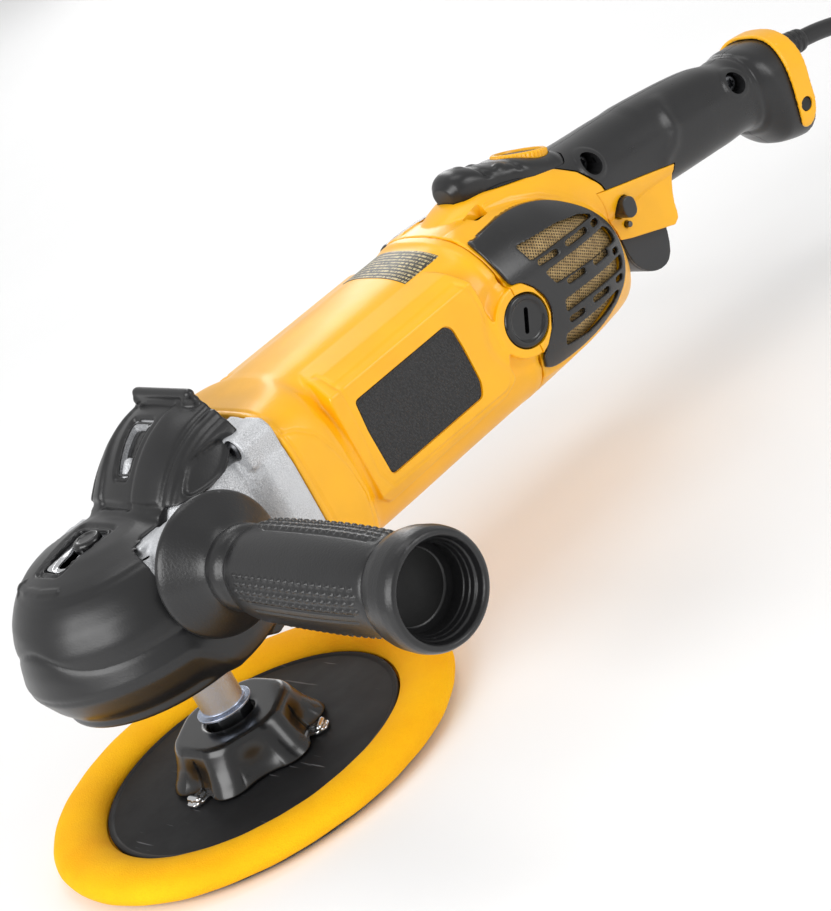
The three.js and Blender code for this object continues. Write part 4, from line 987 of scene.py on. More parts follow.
def boot_creases(points, normals):
    x, y, z = points.T
    angle = np.degrees(np.abs(np.arctan2(x, -(y - NOSE_Y))))
    wall = ramp(44, 48, np.hypot(x, y - NOSE_Y)) * (z < 112) * (y < 22)
    upper = 90 + 10 * np.exp(-(angle / 24) ** 2)
    lower = 81 - 17 * ramp(72, 95, angle)
    facet = 2.9 * np.clip((upper - z) / (upper - lower), 0, 1)
    skirt = 6.2 * np.clip((lower - z) / 17, 0, 1)
    move = wall * (facet - skirt + groove(z - upper, 0.6, 0.9) + groove(z - lower, 0.6, 1.0))
    edge = np.hypot(x, y - NOSE_Y) - 37.6
    move += (z > 110) * (y < 3) * groove(edge, 0.9, 0.45)
    top = ramp(0.15, 0.5, normals[:, 2]) * (z > 118)
    plan = points[:, :2]
    band = [(BAND_X - 16.5, 44), (BAND_X - 16.5, 30), (BAND_X - 14, 18), (BAND_X - 13, 3),
            (BAND_X + 10, 3), (BAND_X + 10.5, 12), (BAND_X + 12, 24), (BAND_X + 14, 44)]
    inside = depth_inside(plan, band)
    move += top * (y > 4) * (-1.3 * ramp(-0.5, 0.7, inside) + groove(inside, 0.8, 0.7))
    rear = (y > 8) * (z > 112)
    for at, depth in ((25.6, 1.6), (30.4, 1.2)):
        move += rear * groove(np.abs(np.abs(x) - at), 0.75, depth)
    seam = [(-30, 7.6), (-18, 5.4), (0, 4.6), (18, 5.6), (30, 8.2)]
    move += (z > 116) * (np.abs(x) < 30) * groove(from_line(plan, seam), 0.9, 1.3)
    side = points[:, 1:]
    leaf = flowing([(44, 132.5), (33, 134), (24, 132.5), (15.5, 124.6), (24, 122.8), (34, 124.6)], 5)
    move -= (np.abs(x) > 29.5) * 2.3 * ramp(-0.4, 0.9, depth_inside(side, leaf))
    return move


def slot_outline(grow):
    """The long window on top of the lobe."""
    c, g = BAND_X, grow
    corners = [(c - 3.6 - g, 14.5 - g), (c + 3.6 + g, 14.5 - g), (c + 6.2 + g, 32.5 + g),
               (c - 6.2 - g, 32.5 + g)]
    return chamfered(corners, 2.2, 5)


def window_outline(grow):
    """The broad window over the spindle lock."""
    c, g = BAND_X, grow
    corners = [(c - 9.5 - g, -31.5 - g), (c + 5.5 + g, -31.5 - g), (c + 9.5 + g, -6.5 + g),
               (c - 14 - g, -6.5 + g)]
    return chamfered(corners, 3.5, 5)


def make_window_floors():
    """Dark plates in the bottoms of the two windows, painted shade laid over the cast floor of each
    pocket, with a small lug and a bright rim.
    """
    # Gloss-black plate over the upper part of the slot's floor: painted shade of the deep pocket.
    plate = column(slot_outline(-0.4), 118, 170)
    keep_inside(plate, loft("lobe", LOBE, LINING - 2.6))
    cut(plate, loft("floor", LOBE, LINING - 3.2), block(-30, 30, 0, 18.5, 100, 180))
    settled(plate, "slot_floor", "tool", "gloss")
    tip = capsule((BAND_X, 16.6, 131.2), (BAND_X, 19.6, 134.2), 2.5)
    settled(tip, "slot_lug", "tool", "cast")
    # Gloss-black plate in the broad window: painted shade of the pocket round the lock button.
    plate = column(window_outline(-1.2), 115.6, 116.4)
    cut(plate, cylinder(8.2, 110, 125, *LOCK_AXIS))
    settled(softened(plate, 0.4, 1), "window_floor", "tool", "gloss")
    rim = column(window_outline(-0.9), 116.7, 119.2)
    bowl = lathe("bowl", [(0, 118), (9, 118.4), (10.8, 119.6), (10.8, 121), (0, 121)])
    bowl.data.transform(Matrix.Translation((BAND_X, -19, 0)) @ Matrix.Diagonal((0.86, 1.16, 1, 1)))
    cut(rim, column(window_outline(-4.2), 110, 125), cylinder(8.4, 110, 125, *LOCK_AXIS), bowl)
    settled(softened(rim, 0.3, 2), "window_rim", "tool", "steel")


def make_boot():
    boot = head_form(0)
    softened(boot, VOXEL, 3)
    sculpted(boot, boot_creases)
    bar = join(capsule((-18, 45.3, 150), (19.5, 45.3, 150), 2.3),
               capsule((-18, 45.3, 147.8), (19, 45.3, 147.8), 2.3))
    flap = [(0, 80), (0, 64), (11, 61), (17.5, 57.8), (21, 58.6), (22.5, 64), (14, 77)]
    join(boot, *[slab(flap, near, far) for near, far in ((26, 40.6), (-40.6, -26))])
    softened(boot, 0.6, 2)
    knobs = [capsule((s * 18, 44.6, 147.6), (s * 19.6, 45.6, 146.6), 2.6) for s in (-1, 1)]
    join(boot, bar, *knobs)
    inner = head_form(-BOOT_WALL, [(64, 92, 42.5, 57, 36, 2.7)])
    opening = [(-16, 92), (-16, 110), (-13.5, 118.4), (0, 120.2), (8, 122.6), (15, 121.8), (24, 121.2),
               (34, 123), (44, 130.5), (70, 139), (70, 40), (26, 40), (22, 66), (13, 78), (0, 84)]
    tools = [inner, block(-60, 60, 48, 80, 40, 170)]
    tools += [cylinder(40.3, 50, 66, at=(0, y, 0)) for y in (NOSE_Y, 0)]
    for near, far in ((-70, -25.5), (25.5, 70)):
        tools.append(slab(chamfered(opening, 2.0), near, far))
        tools.append(cylinder(19, near, far, *SIDE_AXIS))
    c = BAND_X
    tools += [column(slot_outline(0), 118, 170), column(window_outline(0), 105, 150)]
    cut(boot, *tools)
    wide_slot = chamfered([(c - 5.8, 12), (c + 5.8, 12), (c + 8.8, 35), (c - 8.8, 35)], 3, 5)
    wide_window = chamfered([(c - 12, -34.5), (c + 8, -34.5), (c + 12.5, -3.5), (c - 17, -3.5)], 4, 5)
    shave_steps(boot, wide_slot, wide_window)
    softened(boot, 0.55, 1)
    settled(boot, "rubber_boot", "tool", "rubber", ["gear_case_boot"], 60)


def shave_steps(boot, wide_slot, wide_window):
    """Stepped rims round both windows, and the curved arrow of the spindle's turn."""
    arrow = [(-21, -38.5), (-12, -41.2), (0, -42), (10, -40.2)]

    def steps(points, normals):
        up = ramp(0.1, 0.45, normals[:, 2]) * (points[:, 2] > 114)
        plan = points[:, :2]
        move = -1.5 * ramp(-0.5, 0.7, depth_inside(plan, wide_slot))
        move -= 1.6 * ramp(-0.5, 0.7, depth_inside(plan, wide_window)) * (points[:, 1] < 2)
        move += 0.6 * (1 - ramp(1.0, 1.9, from_line(plan, arrow)))
        head = depth_inside(plan, [(-19, -35.2), (-26, -37.4), (-19.5, -42.8)])
        move += 0.6 * ramp(-0.4, 0.5, head)
        return move * up

    softened(boot, 0.6, 1)
    sculpted(boot, steps)


def make_gear_case():
    case = head_form(LINING)
    tail = [*LOBE[3:6], (CASE_REAR, 92, 41, 41, 36, 2.9)]
    parts = [loft("tail", tail, LINING), loft("flange", FLANGE)]
    for near, far, radius in ((30, 48.6, 17), (-48, -30, 9.4)):
        parts.append(cylinder(radius, near, far, *SIDE_AXIS, 96))
    for x, z in CASE_SCREWS:
        s, t = (1 if x > 0 else -1), (1 if z > 90 else -1)
        corner = chamfered([(x - s * 8, z - t * 9), (x + s * 7.2, z - t * 9),
                            (x + s * 7.2, z + t * 1.2), (x + s * 3.5, z + t * 5),
                            (x - s * 8, z + t * 5)], 2)
        parts.append(prism(corner, 41, CASE_REAR))
    for s in (-1, 1):
        parts.append(block(min(s * 22, s * 31), max(s * 22, s * 31), -11, 3, 100, 118.6))
        web = [(s * 33, 42), (s * 38, 42), (s * 40, 12), (s * 33, 12)]
        parts.append(column(web, 96, 104))
    join(case, *parts)
    softened(case, 0.7, 6)
    room = [(0, 50), (39.8, 50), (39.8, 66), (20.8, 66), (20.8, 96), (34.5, 96), (34.5, 114.5),
            (0, 114.5)]
    tools = [lathe("room", room), ring(24.4, 37.5, 60, 92),
             cylinder(12, 8, 42, *COUNTER_AXIS), cylinder(23, 39.5, 70, *COUNTER_AXIS),
             cylinder(17, 39.5, 70, *MOTOR_AXIS), cylinder(3, 100, 130, *LOCK_AXIS),
             cylinder(6.6, 116, 130, *LOCK_AXIS), block(-60, 60, CASE_REAR, 90, 0, 200),
             cylinder(5.2, 36, 60, *SIDE_AXIS), cylinder(5.0, -60, -36, *SIDE_AXIS),
             loft("seat", [(50, 92, 38, 36, 36, 4), (62, 92, 38, 36, 36, 4)])]
    for x, z in CASE_SCREWS:
        tools += [cylinder(2.3, 30, 70, "Y", (x, 0, z), 24), cylinder(4.6, 20, 44, "Y", (x, 0, z), 40)]
    pocket = column(window_outline(-0.6), 116.4, 150)
    tools += [pocket, cut(column(slot_outline(0.5), 118, 170), loft("floor", LOBE, LINING - 3.4))]
    cut(case, *tools)
    settled(case, "cast_gear_case", "tool", "cast", ["gear_case"], 50)


def make_lock_button():
    profile = rounded([(0, 107.6), (2.4, 107.6), (2.4, 119.4), (6, 119.6), (6, 122.6), (5.2, 123.6),
                       (4.2, 123.8), (3.2, 123.2), (0, 123.1)], 0.5)
    button = lathe("button", profile, *LOCK_AXIS, 72)
    settled(button, "lock_button_cap", "lock_button", "gloss", ["spindle_lock_button"])


def star(radius, depth, axis_y, axis_z, x0, x1, axis="X"):
    """A six point star recess of a screw."""
    outline = []
    for a in np.arange(48) / 48 * 2 * math.pi:
        r = radius * (1 + depth * math.cos(6 * a))
        outline.append((axis_y + r * math.cos(a), axis_z + r * math.sin(a)))
    return slab(outline, x0, x1) if axis == "X" else prism(outline, x0, x1)


def make_screws():
    for k, (x, z) in enumerate(CASE_SCREWS):
        profile = rounded([(0, 40.4), (2.6, 40.4), (3.7, 41.2), (3.7, 43.7), (2, 43.7), (2, 57),
                           (0, 57)], 0.3)
        screw = lathe("screw", profile, "Y", (x, 0, z), 40)
        cut(screw, star(1.9, 0.16, x, z, 39, 42, "Y"))
        settled(screw, f"case_torx_{k + 1}", "tool", "dark_steel",
                [f"case_screw_{k + 1}"])
    for k, (y, z) in enumerate(HANDLE_SCREWS):
        profile = rounded([(0, -11), (2, -11), (2, 5.5), (3.9, 5.5), (3.9, 12.2), (3.1, 13), (0, 13)],
                          0.3)
        screw = lathe("screw", profile, "X", (0, y, z), 40)
        cut(screw, star(2.1, 0.18, y, z, 11, 14))
        settled(screw, f"handle_torx_{k + 1}", "tool", "dark_steel",
                [f"handle_screw_{k + 1}"])


# ---- motor housing ----
# Side of the housing: flat panel with a broken upper shoulder and a chamfered foot.
SHOULDER = [(0, 131.6), (12, 131.2), (23.2, 129), (33.6, 126.2), (43.2, 120.6), (43.5, 104), (43.5, 80),
            (43.2, 74.4), (37, 65.5), (33, 62), (0, 60)]
PANEL = [(85, 73), (90, 68), (160, 70), (166, 75), (169.4, 88), (168.6, 110), (168.2, 121),
         (165.5, 127), (160, 131), (92, 131), (87.5, 127), (84.6, 118)]
LABEL = [(93.6, 78.4), (147.8, 78.4), (150.4, 84), (150.6, 100), (150, 110.5), (147.5, 113.4),
         (94.4, 113.4), (93.2, 100)]
LABEL_MIDDLE = (121.9, 96)


def housing_creases(points, normals):
    x, y, z = points.T
    side = points[:, 1:]
    flank = (np.abs(x) > 30)
    step = [(58, 123), (66, 119.4), (71.9, 113.4), (76, 103), (78.6, 94), (80, 80), (77, 66), (70, 58)]
    move = flank * (y < 84) * groove(from_line(side, step), 0.8, 0.45)
    line = [(91.4, 127), (91.6, 115.6), (90.6, 97.6), (88.8, 82), (92, 74.5), (160, 72.6), (165, 77)]
    move += flank * groove(from_line(side, line), 0.75, 0.4)
    lid = [(91, 122.2), (163, 122.6), (166, 118), (166.6, 90)]
    move += flank * groove(from_line(side, lid), 0.75, 0.35)
    boss = np.hypot(y - SEAM, z - MOTOR_HEIGHT)
    move -= flank * 0.9 * np.exp(-((boss - 19.5) / 2.4) ** 2) * (y > 160)
    move += groove(np.abs(y - 60.2), 0.6, 0.5)
    return move


def brush_boss(side):
    near, far = (36, 43.9) if side > 0 else (-43.9, -36)
    return cylinder(15.6, near, far, *BRUSH_AXIS, 96)


def brush_bore():
    return cylinder(BRUSH_RADIUS + GAP, -60, 60, *BRUSH_AXIS, 96)


def make_motor_housing():
    housing = loft("housing", MOTOR_BODY)
    half = SHOULDER + [(-x, z) for x, z in SHOULDER[-2:0:-1]]
    panel = prism(half, 84, 170)
    keep_inside(panel, slab(PANEL, -60, 60))
    join(housing, panel, *[brush_boss(side) for side in (-1, 1)])
    softened(housing, VOXEL, 4)
    sculpted(housing, housing_creases)
    inner = loft("inner", [(y, z, w, up, down, min(p, 3.4)) for y, z, w, up, down, p in MOTOR_BODY], -3)
    low, high = CASE_REAR + GAP, SEAM
    tools = [inner, block(-34, 34, 50, 66, 60, 124), cylinder(MOTOR_BORE, 172, 190, *MOTOR_AXIS),
             block(-60, 60, 0, low, 0, 200), block(-60, 60, high, 240, 0, 200), brush_bore()]
    outline = chamfered(LABEL, 2.2)
    tools += [slab(outline, 42.6, 60), slab(outline, -60, -42.6)]
    for x, z in CASE_SCREWS:
        tools.append(cylinder(2.3, 50, 59, "Y", (x, 0, z), 24))
    cut(housing, *tools)
    settled(housing, "yellow_motor_housing", "tool", "yellow", ["motor_housing"], 55)


def make_labels():
    inner = chamfered([(y + (0.35 if y < 120 else -0.35), z + (0.35 if z < 96 else -0.35)) for y,
                       z in LABEL], 2)
    for word, near, far in (("left", 42.2, 43.15), ("right", -43.15, -42.2)):
        plate = slab(inner, near, far)
        rim = [(LABEL_MIDDLE[0] + (y - LABEL_MIDDLE[0]) * 0.955,
                LABEL_MIDDLE[1] + (z - LABEL_MIDDLE[1]) * 0.93)
               for y, z in inner]
        out = far if word == "left" else near
        cut(plate, slab(rim, min(out - 0.25, out + 0.25), max(out - 0.25, out + 0.25)))
        softened(plate, 0.3, 1)
        settled(plate, f"blank_label_{word}", "tool", "label", [f"side_label_{word}"],
                60)


def top_of_housing(x, grow):
    """Height of the housing's round top at a given x."""
    share = 1 - (np.abs(x) / (41.6 + grow)) ** 2.6
    return MOTOR_HEIGHT + (40.5 + grow) * np.clip(share, 0, 1) ** (1 / 2.6)


def make_rating_plate():
    """A thin plate that follows the round top of the housing."""
    columns, rows = 60, 30
    x, y = np.meshgrid(-21 + 43 * np.arange(columns + 1) / columns,
                       153.5 + 22 * np.arange(rows + 1) / rows)
    layers = [np.stack([x, y, top_of_housing(x, grow)], -1).reshape(-1, 3) for grow in (0.16, -0.4)]
    points = np.vstack(layers)
    faces = plate_faces(np.ones((rows, columns), bool), np.arange(x.size).reshape(x.shape))
    plate = body_of_points("rating", points, faces)
    settled(plate, "rating_plate", "tool", "rating", angle=30)


# ---- rear cap, vents and brushes ----
VENT = [(184.2, 126.6), (190, 128.2), (205, 128.4), (219, 125.8), (231, 120.2), (242, 110),
        (248.6, 100), (250.6, 91), (248.6, 82), (242.5, 73.4), (232, 67.4), (216, 63.8), (198, 64.2),
        (187, 66.4), (182.5, 71), (187, 77.4), (192.4, 82.4), (195.6, 88), (196, 94.2), (193.6, 101),
        (189, 106.4), (184.2, 109.4)]
STRIPS = [
    [(197.8, 118.2), (222, 114.2), (236, 109.6), (241.6, 106.2), (243.5, 104.6), (222, 108),
     (199.4, 110.2)],
    [(202, 103.1), (222, 101.2), (244, 98.6), (246.6, 96), (247.4, 93), (247, 89.9), (222, 93.6),
     (204.2, 96.2)],
    [(204, 88), (222, 86.4), (245.6, 83.8), (245, 81), (243, 78.8), (222, 81.4), (202.6, 83.2)],
    [(198, 75.2), (215, 74), (234, 73), (236.5, 72.2), (232, 69.8), (224, 68.2), (212, 67.4),
     (196.6, 70.6)],
]
PILLS = [((207.4, 106.8), 12.6), ((226.4, 104.6), 15.6), ((240.8, 102.4), 6), ((215.4, 92.6), 12),
         ((232.8, 90.4), 12), ((243.2, 86.9), 4.6), ((207, 78.8), 10), ((224, 77.8), 12),
         ((238.4, 76.4), 6)]


def vent_outline(inset):
    middle = np.array([214, 95])
    out = []
    for point in VENT:
        away = np.array(point) - middle
        out.append(tuple(middle + away * (1 - inset / np.linalg.norm(away))))
    return out


def rear_creases(points, normals):
    x, y, z = points.T
    side = points[:, 1:]
    depth = depth_inside(side, VENT)
    move = (np.abs(x) > 16) * 0.7 * np.exp(-((depth + 3.2) / 1.6) ** 2)
    boss = np.hypot(y - SEAM, z - MOTOR_HEIGHT)
    move -= (np.abs(x) > 30) * 0.6 * np.exp(-((boss - 18.6) / 1.8) ** 2)
    return move


def saddle_zone(grow):
    outline = [(y if y < 200 else y + grow, z + grow if z > 90 else z) for y, z in SADDLE]
    return slab(outline, -40, 40)


def vent_zone():
    vent = loft("vent", REAR_BODY, 2.6)
    return keep_inside(vent, slab(vent_outline(-0.6), -60, 60))


def make_rear_cap():
    cap = loft("cap", REAR_BODY)
    saddle = loft("saddle", HANDLE_BODY, 0, 160, 1.5)
    keep_inside(saddle, saddle_zone(0))
    cut(saddle, block(-60, 60, 180, SEAM + 6, 0, 200))
    join(cap, saddle, *[brush_boss(side) for side in (-1, 1)])
    softened(cap, VOXEL, 7)
    sculpted(cap, rear_creases)
    under = loft("under", REAR_BODY, 0)
    vent = cut(vent_zone(), under)
    cut(cap, vent, guard_zone(GAP), surround_form(GAP), dial_cylinder(14.5, -8, 20))
    tools = [loft("inner", REAR_BODY[:6], -3), cylinder(MOTOR_BORE, 170, 200, *MOTOR_AXIS),
             block(-60, 60, 150, SEAM + GAP, 0, 200), cylinder(7, 230, 290, "Y", (0, 0, 92)),
             brush_bore()]
    for near, far in ((20, 60), (-60, -20)):
        tools.append(slab(vent_outline(2.4), near, far))
    for s in (-1, 1):
        notch = chamfered([(s * 13.5, 197), (s * 21, 199), (s * 20, 206.5), (s * 14, 208)], 1.5)
        tools.append(column(notch, 127.5, 145))
        tools.append(capsule((s * 17.4, 202.5, 126), (s * 17.4, 202.5, 132), 2.6))
    cut(cap, *tools)
    settled(cap, "yellow_rear_cap", "tool", "yellow", ["rear_cap"], 50)


def make_vent_covers():
    shell = loft("cover", REAR_BODY, 2.2, 200, 1.5)
    cut(shell, loft("under", REAR_BODY, GAP, 200, 1.5), block(-60, 60, 100, SEAM + GAP, 0, 200),
        cylinder(BRUSH_RADIUS + 1.9, -60, 60, *BRUSH_AXIS, 96))
    for word, near, far in (("left", 15, 60), ("right", -60, -15)):
        cover = copy_of(shell)
        keep_inside(cover, slab(flowing(VENT, 4), near, far))
        tools = [slab(chamfered(strip, 1.2), near, far) for strip in STRIPS]
        tools += [slab(pill(centre, length, 2.5, -0.13), near, far) for centre, length in PILLS]
        cut(cover, *tools)
        softened(cover, FINE, 5)
        settled(cover, f"vent_grille_{word}", "tool", "grille", [f"vent_cover_{word}"],
                60)
        make_screen(word)
    bpy.data.objects.remove(shell)


def woven_grid(side):
    """Points of the woven wire behind one grille, as rows along the tool."""
    rows = stations_of(REAR_BODY, 0.4)
    rows = rows[(rows[:, 0] > 184) & (rows[:, 0] < 250)]
    if side > 0:
        angle = np.linspace(-1.05, 1.1, 250)
    else:
        angle = math.pi + np.linspace(-1.1, 1.05, 250)
    grids = []
    for row in rows:
        outer = section_points(row, angle, -0.9)
        u, v = outer[:, 1], outer[:, 2]
        one, two = np.sin(math.pi * (u + 0.4 * v) / 0.75), np.sin(math.pi * (v - 0.4 * u) / 0.75)
        outer[:, 0] += side * (0.16 * one * two + 0.12 * np.maximum(one, two))
        grids.append(outer)
    return np.array(grids)


def make_screen(word):
    """Woven wire behind the grille: over and under threads as a raised and sunken skin."""
    side = 1 if word == "left" else -1
    grid = woven_grid(side)
    count, across, _ = grid.shape
    outline = vent_outline(2.8)
    inside = depth_inside(grid.reshape(-1, 3)[:, 1:], outline).reshape(count, across) > 0
    keep = inside[:-1, :-1] & inside[1:, :-1] & inside[:-1, 1:] & inside[1:, 1:]
    faces = plate_faces(keep, np.arange(count * across).reshape(count, across))
    back = grid.copy()
    back[:, :, 0] -= 0.9 * side
    points = np.vstack([grid.reshape(-1, 3), back.reshape(-1, 3)])
    used = np.unique(faces)
    lookup = np.zeros(len(points), int)
    lookup[used] = np.arange(len(used))
    screen = body_of_points("screen", points[used], lookup[faces])
    settled(screen, f"wire_screen_{word}", "tool", "wire", [f"lint_screen_{word}"], 180)


def make_brushes():
    for word, side in SIDES:
        profile = rounded([(0, 36), (7, 36), (7, 38.5), (11.4, 38.5), (11.4, 43.6), (10.4, 44.7),
                           (9.0, 44.7), (8.4, 44.0), (7.6, 43.7), (0, 43.7)], 0.5)
        cap = lathe("cap", profile, segments=120)
        cut(cap, column(pill((0, 0), 11, 2.2), 38.6, 46))
        knurl = [cylinder(0.9, 43.3, 46, at=(11.9 * math.cos(a), 11.9 * math.sin(a), 0), segments=20)
                 for a in np.arange(4) * math.pi / 2 + 0.8]
        cut(cap, *knurl)
        turn = Matrix.Rotation(side * math.pi / 2, 4, "Y")
        twist = Matrix.Rotation(math.radians(-28), 4, "Z")
        cap.data.transform(Matrix.Translation((0, SEAM, MOTOR_HEIGHT)) @ turn @ twist)
        settled(cap, f"brush_screw_cap_{word}", "tool", "gloss", [f"brush_cap_{word}"])


# ---- rear handle ----
GUARD = [(258, 106), (306, 91.5), (305, 88.5), (302.6, 85), (300.2, 80.5), (298.6, 76), (298, 72.5),
         (297, 69.8), (294, 68), (270, 76.5), (262, 80)]


def handle_creases(points, normals):
    x, y, z = points.T
    side = points[:, 1:]
    crescent = [(319, 119), (315, 115), (313.4, 109), (313, 104), (309, 99.5), (302, 96.5)]
    flank = ramp(0.25, 0.7, np.abs(normals[:, 0]))
    move = 0.9 * flank * np.exp(-(from_line(side, crescent) / 3.2) ** 2)
    for at_y, at_z in HANDLE_SCREWS:
        away = np.hypot(y - at_y, z - at_z)
        move += flank * 0.45 * (1 - ramp(6.2, 7.6, away))
    move += groove(y - (366 + (z - 90) * 0.12), 1.6, 0.9)
    return move + 0.5 * ramp(0.6, 0.9, normals[:, 2]) * ramp(298, 306, y) * (1 - ramp(350, 360, y))


def guard_zone(grow):
    out = []
    for i, (y, z) in enumerate(GUARD):
        out.append((y + (grow if 0 < i < 9 else -0.5 * grow), z + (1.05 * grow if i < 2 else 0)))
    return slab(out, -40, 40)


def surround_form(grow):
    form = loft("surround", SURROUND, grow, 96, 1.5)
    return cut(form, loft("under", REAR_BODY, GAP))


def dial_cylinder(radius, low, high):
    piece = cylinder(radius, low, high, segments=96)
    piece.data.transform(DIAL_TURN)
    return piece


def make_handle():
    whole = loft("handle", HANDLE_BODY, 0, 160, 1.5)
    cut(whole, slab(HANDLE_END, -40, 40))
    softened(whole, VOXEL, 3)
    sculpted(whole, handle_creases)
    inner = [row for row in HANDLE_BODY if 262 <= row[0] < 380] + [(384, *HANDLE_BODY[-2][1:])]
    inner[0] = (266, *inner[0][1:])
    inner = [row if row[0] < 350 else (*row[:2], row[2] - 2, row[3] - 2, row[4] - 2.5,
                                       row[5]) for row in inner]
    tools = [loft("cap", REAR_BODY, 2 * GAP), vent_zone(), block(-60, 60, 180, 268, 0, 88),
             saddle_zone(GAP)]
    cut(whole, *tools)
    cavity = loft("cavity", inner, -3.4)
    posts = [cylinder(6.6, -15, 15, "X", (0, y, z)) for y, z in HANDLE_SCREWS]
    cut(cavity, *posts)
    relief = cylinder(8.3, -8, 30, "Y")
    relief.data.transform(RELIEF_TURN)
    tools = [cavity, relief, dial_cylinder(14.5, -8, 20), surround_form(GAP), guard_zone(GAP)]
    for y, z in HANDLE_SCREWS:
        tools.append(cylinder(2.2, -12, 30, "X", (0, y, z), 32))
        tools += [cylinder(4.9, 5.2, 40, "X", (0, y, z)), cylinder(4.9, -40, -11.5, "X", (0, y, z))]
    cut(whole, *tools)
    for word, near, far in (("left", GAP / 2, 60), ("right", -60, -GAP / 2)):
        half = copy_of(whole)
        keep_inside(half, block(near, far, 150, 420, 40, 160))
        settled(half, f"handle_shell_{word}", "tool", "black", [f"handle_{word}"], 50)
    bpy.data.objects.remove(whole)


def make_end_band():
    band = loft("band", HANDLE_BODY[7:], 1.8, 160, 1.5)
    under = loft("under", HANDLE_BODY[7:], GAP, 160, 1.5)
    strap = flowing([(387.4, 120), (395.6, 120), (394.2, 106), (392.8, 95), (389.8, 83), (388, 72.6),
                     (385.4, 65.6), (382, 63.6), (379, 66.4), (378.4, 76), (380.2, 88), (382.6, 100),
                     (386, 110)], 5)
    cut(band, under)
    keep_inside(band, slab(strap, -40, 40))
    cut(band, cylinder(3.3, -40, 40, *LANYARD_AXIS, 48))
    softened(band, FINE, 3)
    settled(band, "yellow_end_band", "tool", "yellow", ["end_band"], 60)
    for word, side in SIDES:
        near, far = (21.6, 22.6) if side > 0 else (-22.6, -21.6)
        eye = cylinder(3.0, near, far, *LANYARD_AXIS, 40)
        settled(eye, f"lanyard_eye_{word}", "tool", "carbon")


def make_trigger_housing():
    bulk = loft("bulk", HANDLE_BODY, 0, 144, 2)
    join(bulk, slab(GUARD, -15.5, 15.5))
    body = guard_zone(0)
    keep_inside(body, bulk)
    room = [(266.5, 60), (266.5, 86), (290, 86), (296, 82), (295.2, 60)]
    oval = pill(LOCK_ON, 10.4, 8.2, math.pi / 2 - 0.15)
    tools = [loft("cap", REAR_BODY, 2 * GAP), slab(room, -11, 11), slab(oval, 14, 40),
             cylinder(4.6, 8, 40, *LOCK_ON_AXIS), cylinder(1.5, 14, 40, *PIN_AXIS, 32)]
    cut(body, *tools)
    softened(body, FINE, 3)
    settled(body, "yellow_trigger_housing", "tool", "yellow", ["trigger_housing"], 60)


def make_trigger():
    """The lever, with a hollow for the finger and two fine ribs."""
    outline = flowing([(268.2, 76), (268.5, 66), (271.6, 59.4), (277, 55), (284, 53.8), (289, 57),
                       (292.2, 64), (293.2, 72), (289, 78.4), (276, 80.3), (270, 79.6)], 4)
    trigger = slab(outline, -9.9, 9.9)
    softened(trigger, FINE, 8)

    def finger(points, normals):
        x, y, z = points.T
        front = ramp(0.2, 0.8, -normals[:, 1])
        hollow = np.exp(-((x / 6.5) ** 2)) * front * np.exp(-((z - 67) / 7.0) ** 2)
        ribs = groove(np.abs(x) - 8.2, 0.6, 0.35) * (np.abs(normals[:, 0]) < 0.4)
        return -0.9 * hollow + ribs

    sculpted(trigger, finger)
    settled(trigger, "trigger_lever", "trigger", "grey", ["trigger"], 60)


def make_lock_on():
    """The button that holds the trigger, and the end of the trigger's pin."""
    button = slab(pill(LOCK_ON, 9.6, 7.4, math.pi / 2 - 0.15), 17.6, 23.9)
    join(button, cylinder(4.1, 14, 19, *LOCK_ON_AXIS))
    softened(button, 0.4, 5)
    settled(button, "lock_on_cap", "lock_on", "grey", ["lock_on_button"], 60)
    pin = lathe("pin", rounded([(0, 15), (1.4, 15), (1.4, 17.6), (0.9, 18.0), (0, 18.0)], 0.3),
                *PIN_AXIS, 32)
    settled(pin, "trigger_pin_end", "tool", "dark_steel")


def make_switch_module():
    module = block(-8, 8, 308, 334, 91, 107)
    cut(module, block(-9, 9, 314, 315, 105.8, 108), block(-9, 9, 326, 327, 105.8, 108))
    softened(module, FINE, 3)
    settled(module, "speed_switch_module", "tool", "carbon", ["switch_module"], 60)


def make_dial_pod():
    """The thumb rest in front of the speed dial."""
    pod = surround_form(0)
    bumps = [ellipsoid((0, 213, 142.4), (8.0, 7.2, 4.8)),
             ellipsoid((-9.4, 227, 136.6), (3.8, 5.4, 4.0)),
             ellipsoid((9.4, 227, 136.6), (3.8, 5.4, 4.0))]
    join(pod, *bumps)
    softened(pod, FINE, 5)

    def waist(points, normals):
        x, y, z = points.T
        top = ramp(0.1, 0.6, normals[:, 2])
        return top * (groove(y - 220.5, 1.6, 1.2) + groove(y - 234, 1.2, 0.6))

    sculpted(pod, waist)
    cut(pod, dial_cylinder(12.9, -1.6, 20), loft("under", REAR_BODY, GAP))
    settled(pod, "dial_pod", "tool", "rubber", ["dial_surround"], 50)


def make_dial():
    """A knurled ring round a flat face with scale marks and an arrow."""
    def knurled(angle, radius, height):
        grip = 0.35 * np.cos(40 * angle)
        return radius + grip * ramp(11.6, 12.2, radius)

    profile = rounded([(0, -1.2), (12.1, -1.2), (12.1, 1.6), (11.6, 2.4), (10.4, 2.4), (10.0, 0.9),
                       (0, 0.8)], 0.3)
    dial = lathe("dial", profile, segments=320, shape=knurled)
    dial.data.transform(DIAL_TURN)
    settled(dial, "speed_dial_ring", "dial", "yellow", ["speed_dial"], 40)
    face = lathe("face", rounded([(0, 0.9), (9.8, 0.9), (9.8, 1.4), (0, 1.4)], 0.2), segments=96)
    marks = [block(-0.3, 0.3, 6.4, 9.2, 1.2, 2.6)]
    for k in range(1, 9):
        mark = block(-0.25, 0.25, 7.4, 9.2, 1.2, 2.6)
        mark.data.transform(Matrix.Rotation(k * 2 * math.pi / 9, 4, "Z"))
        marks.append(mark)
    marks.append(column([(-1.2, -4.5), (1.2, -4.5), (0, 5.2)], 1.15, 2.6))
    cut(face, *marks)
    face.data.transform(DIAL_TURN)
    settled(face, "speed_dial_face", "dial", "grey")


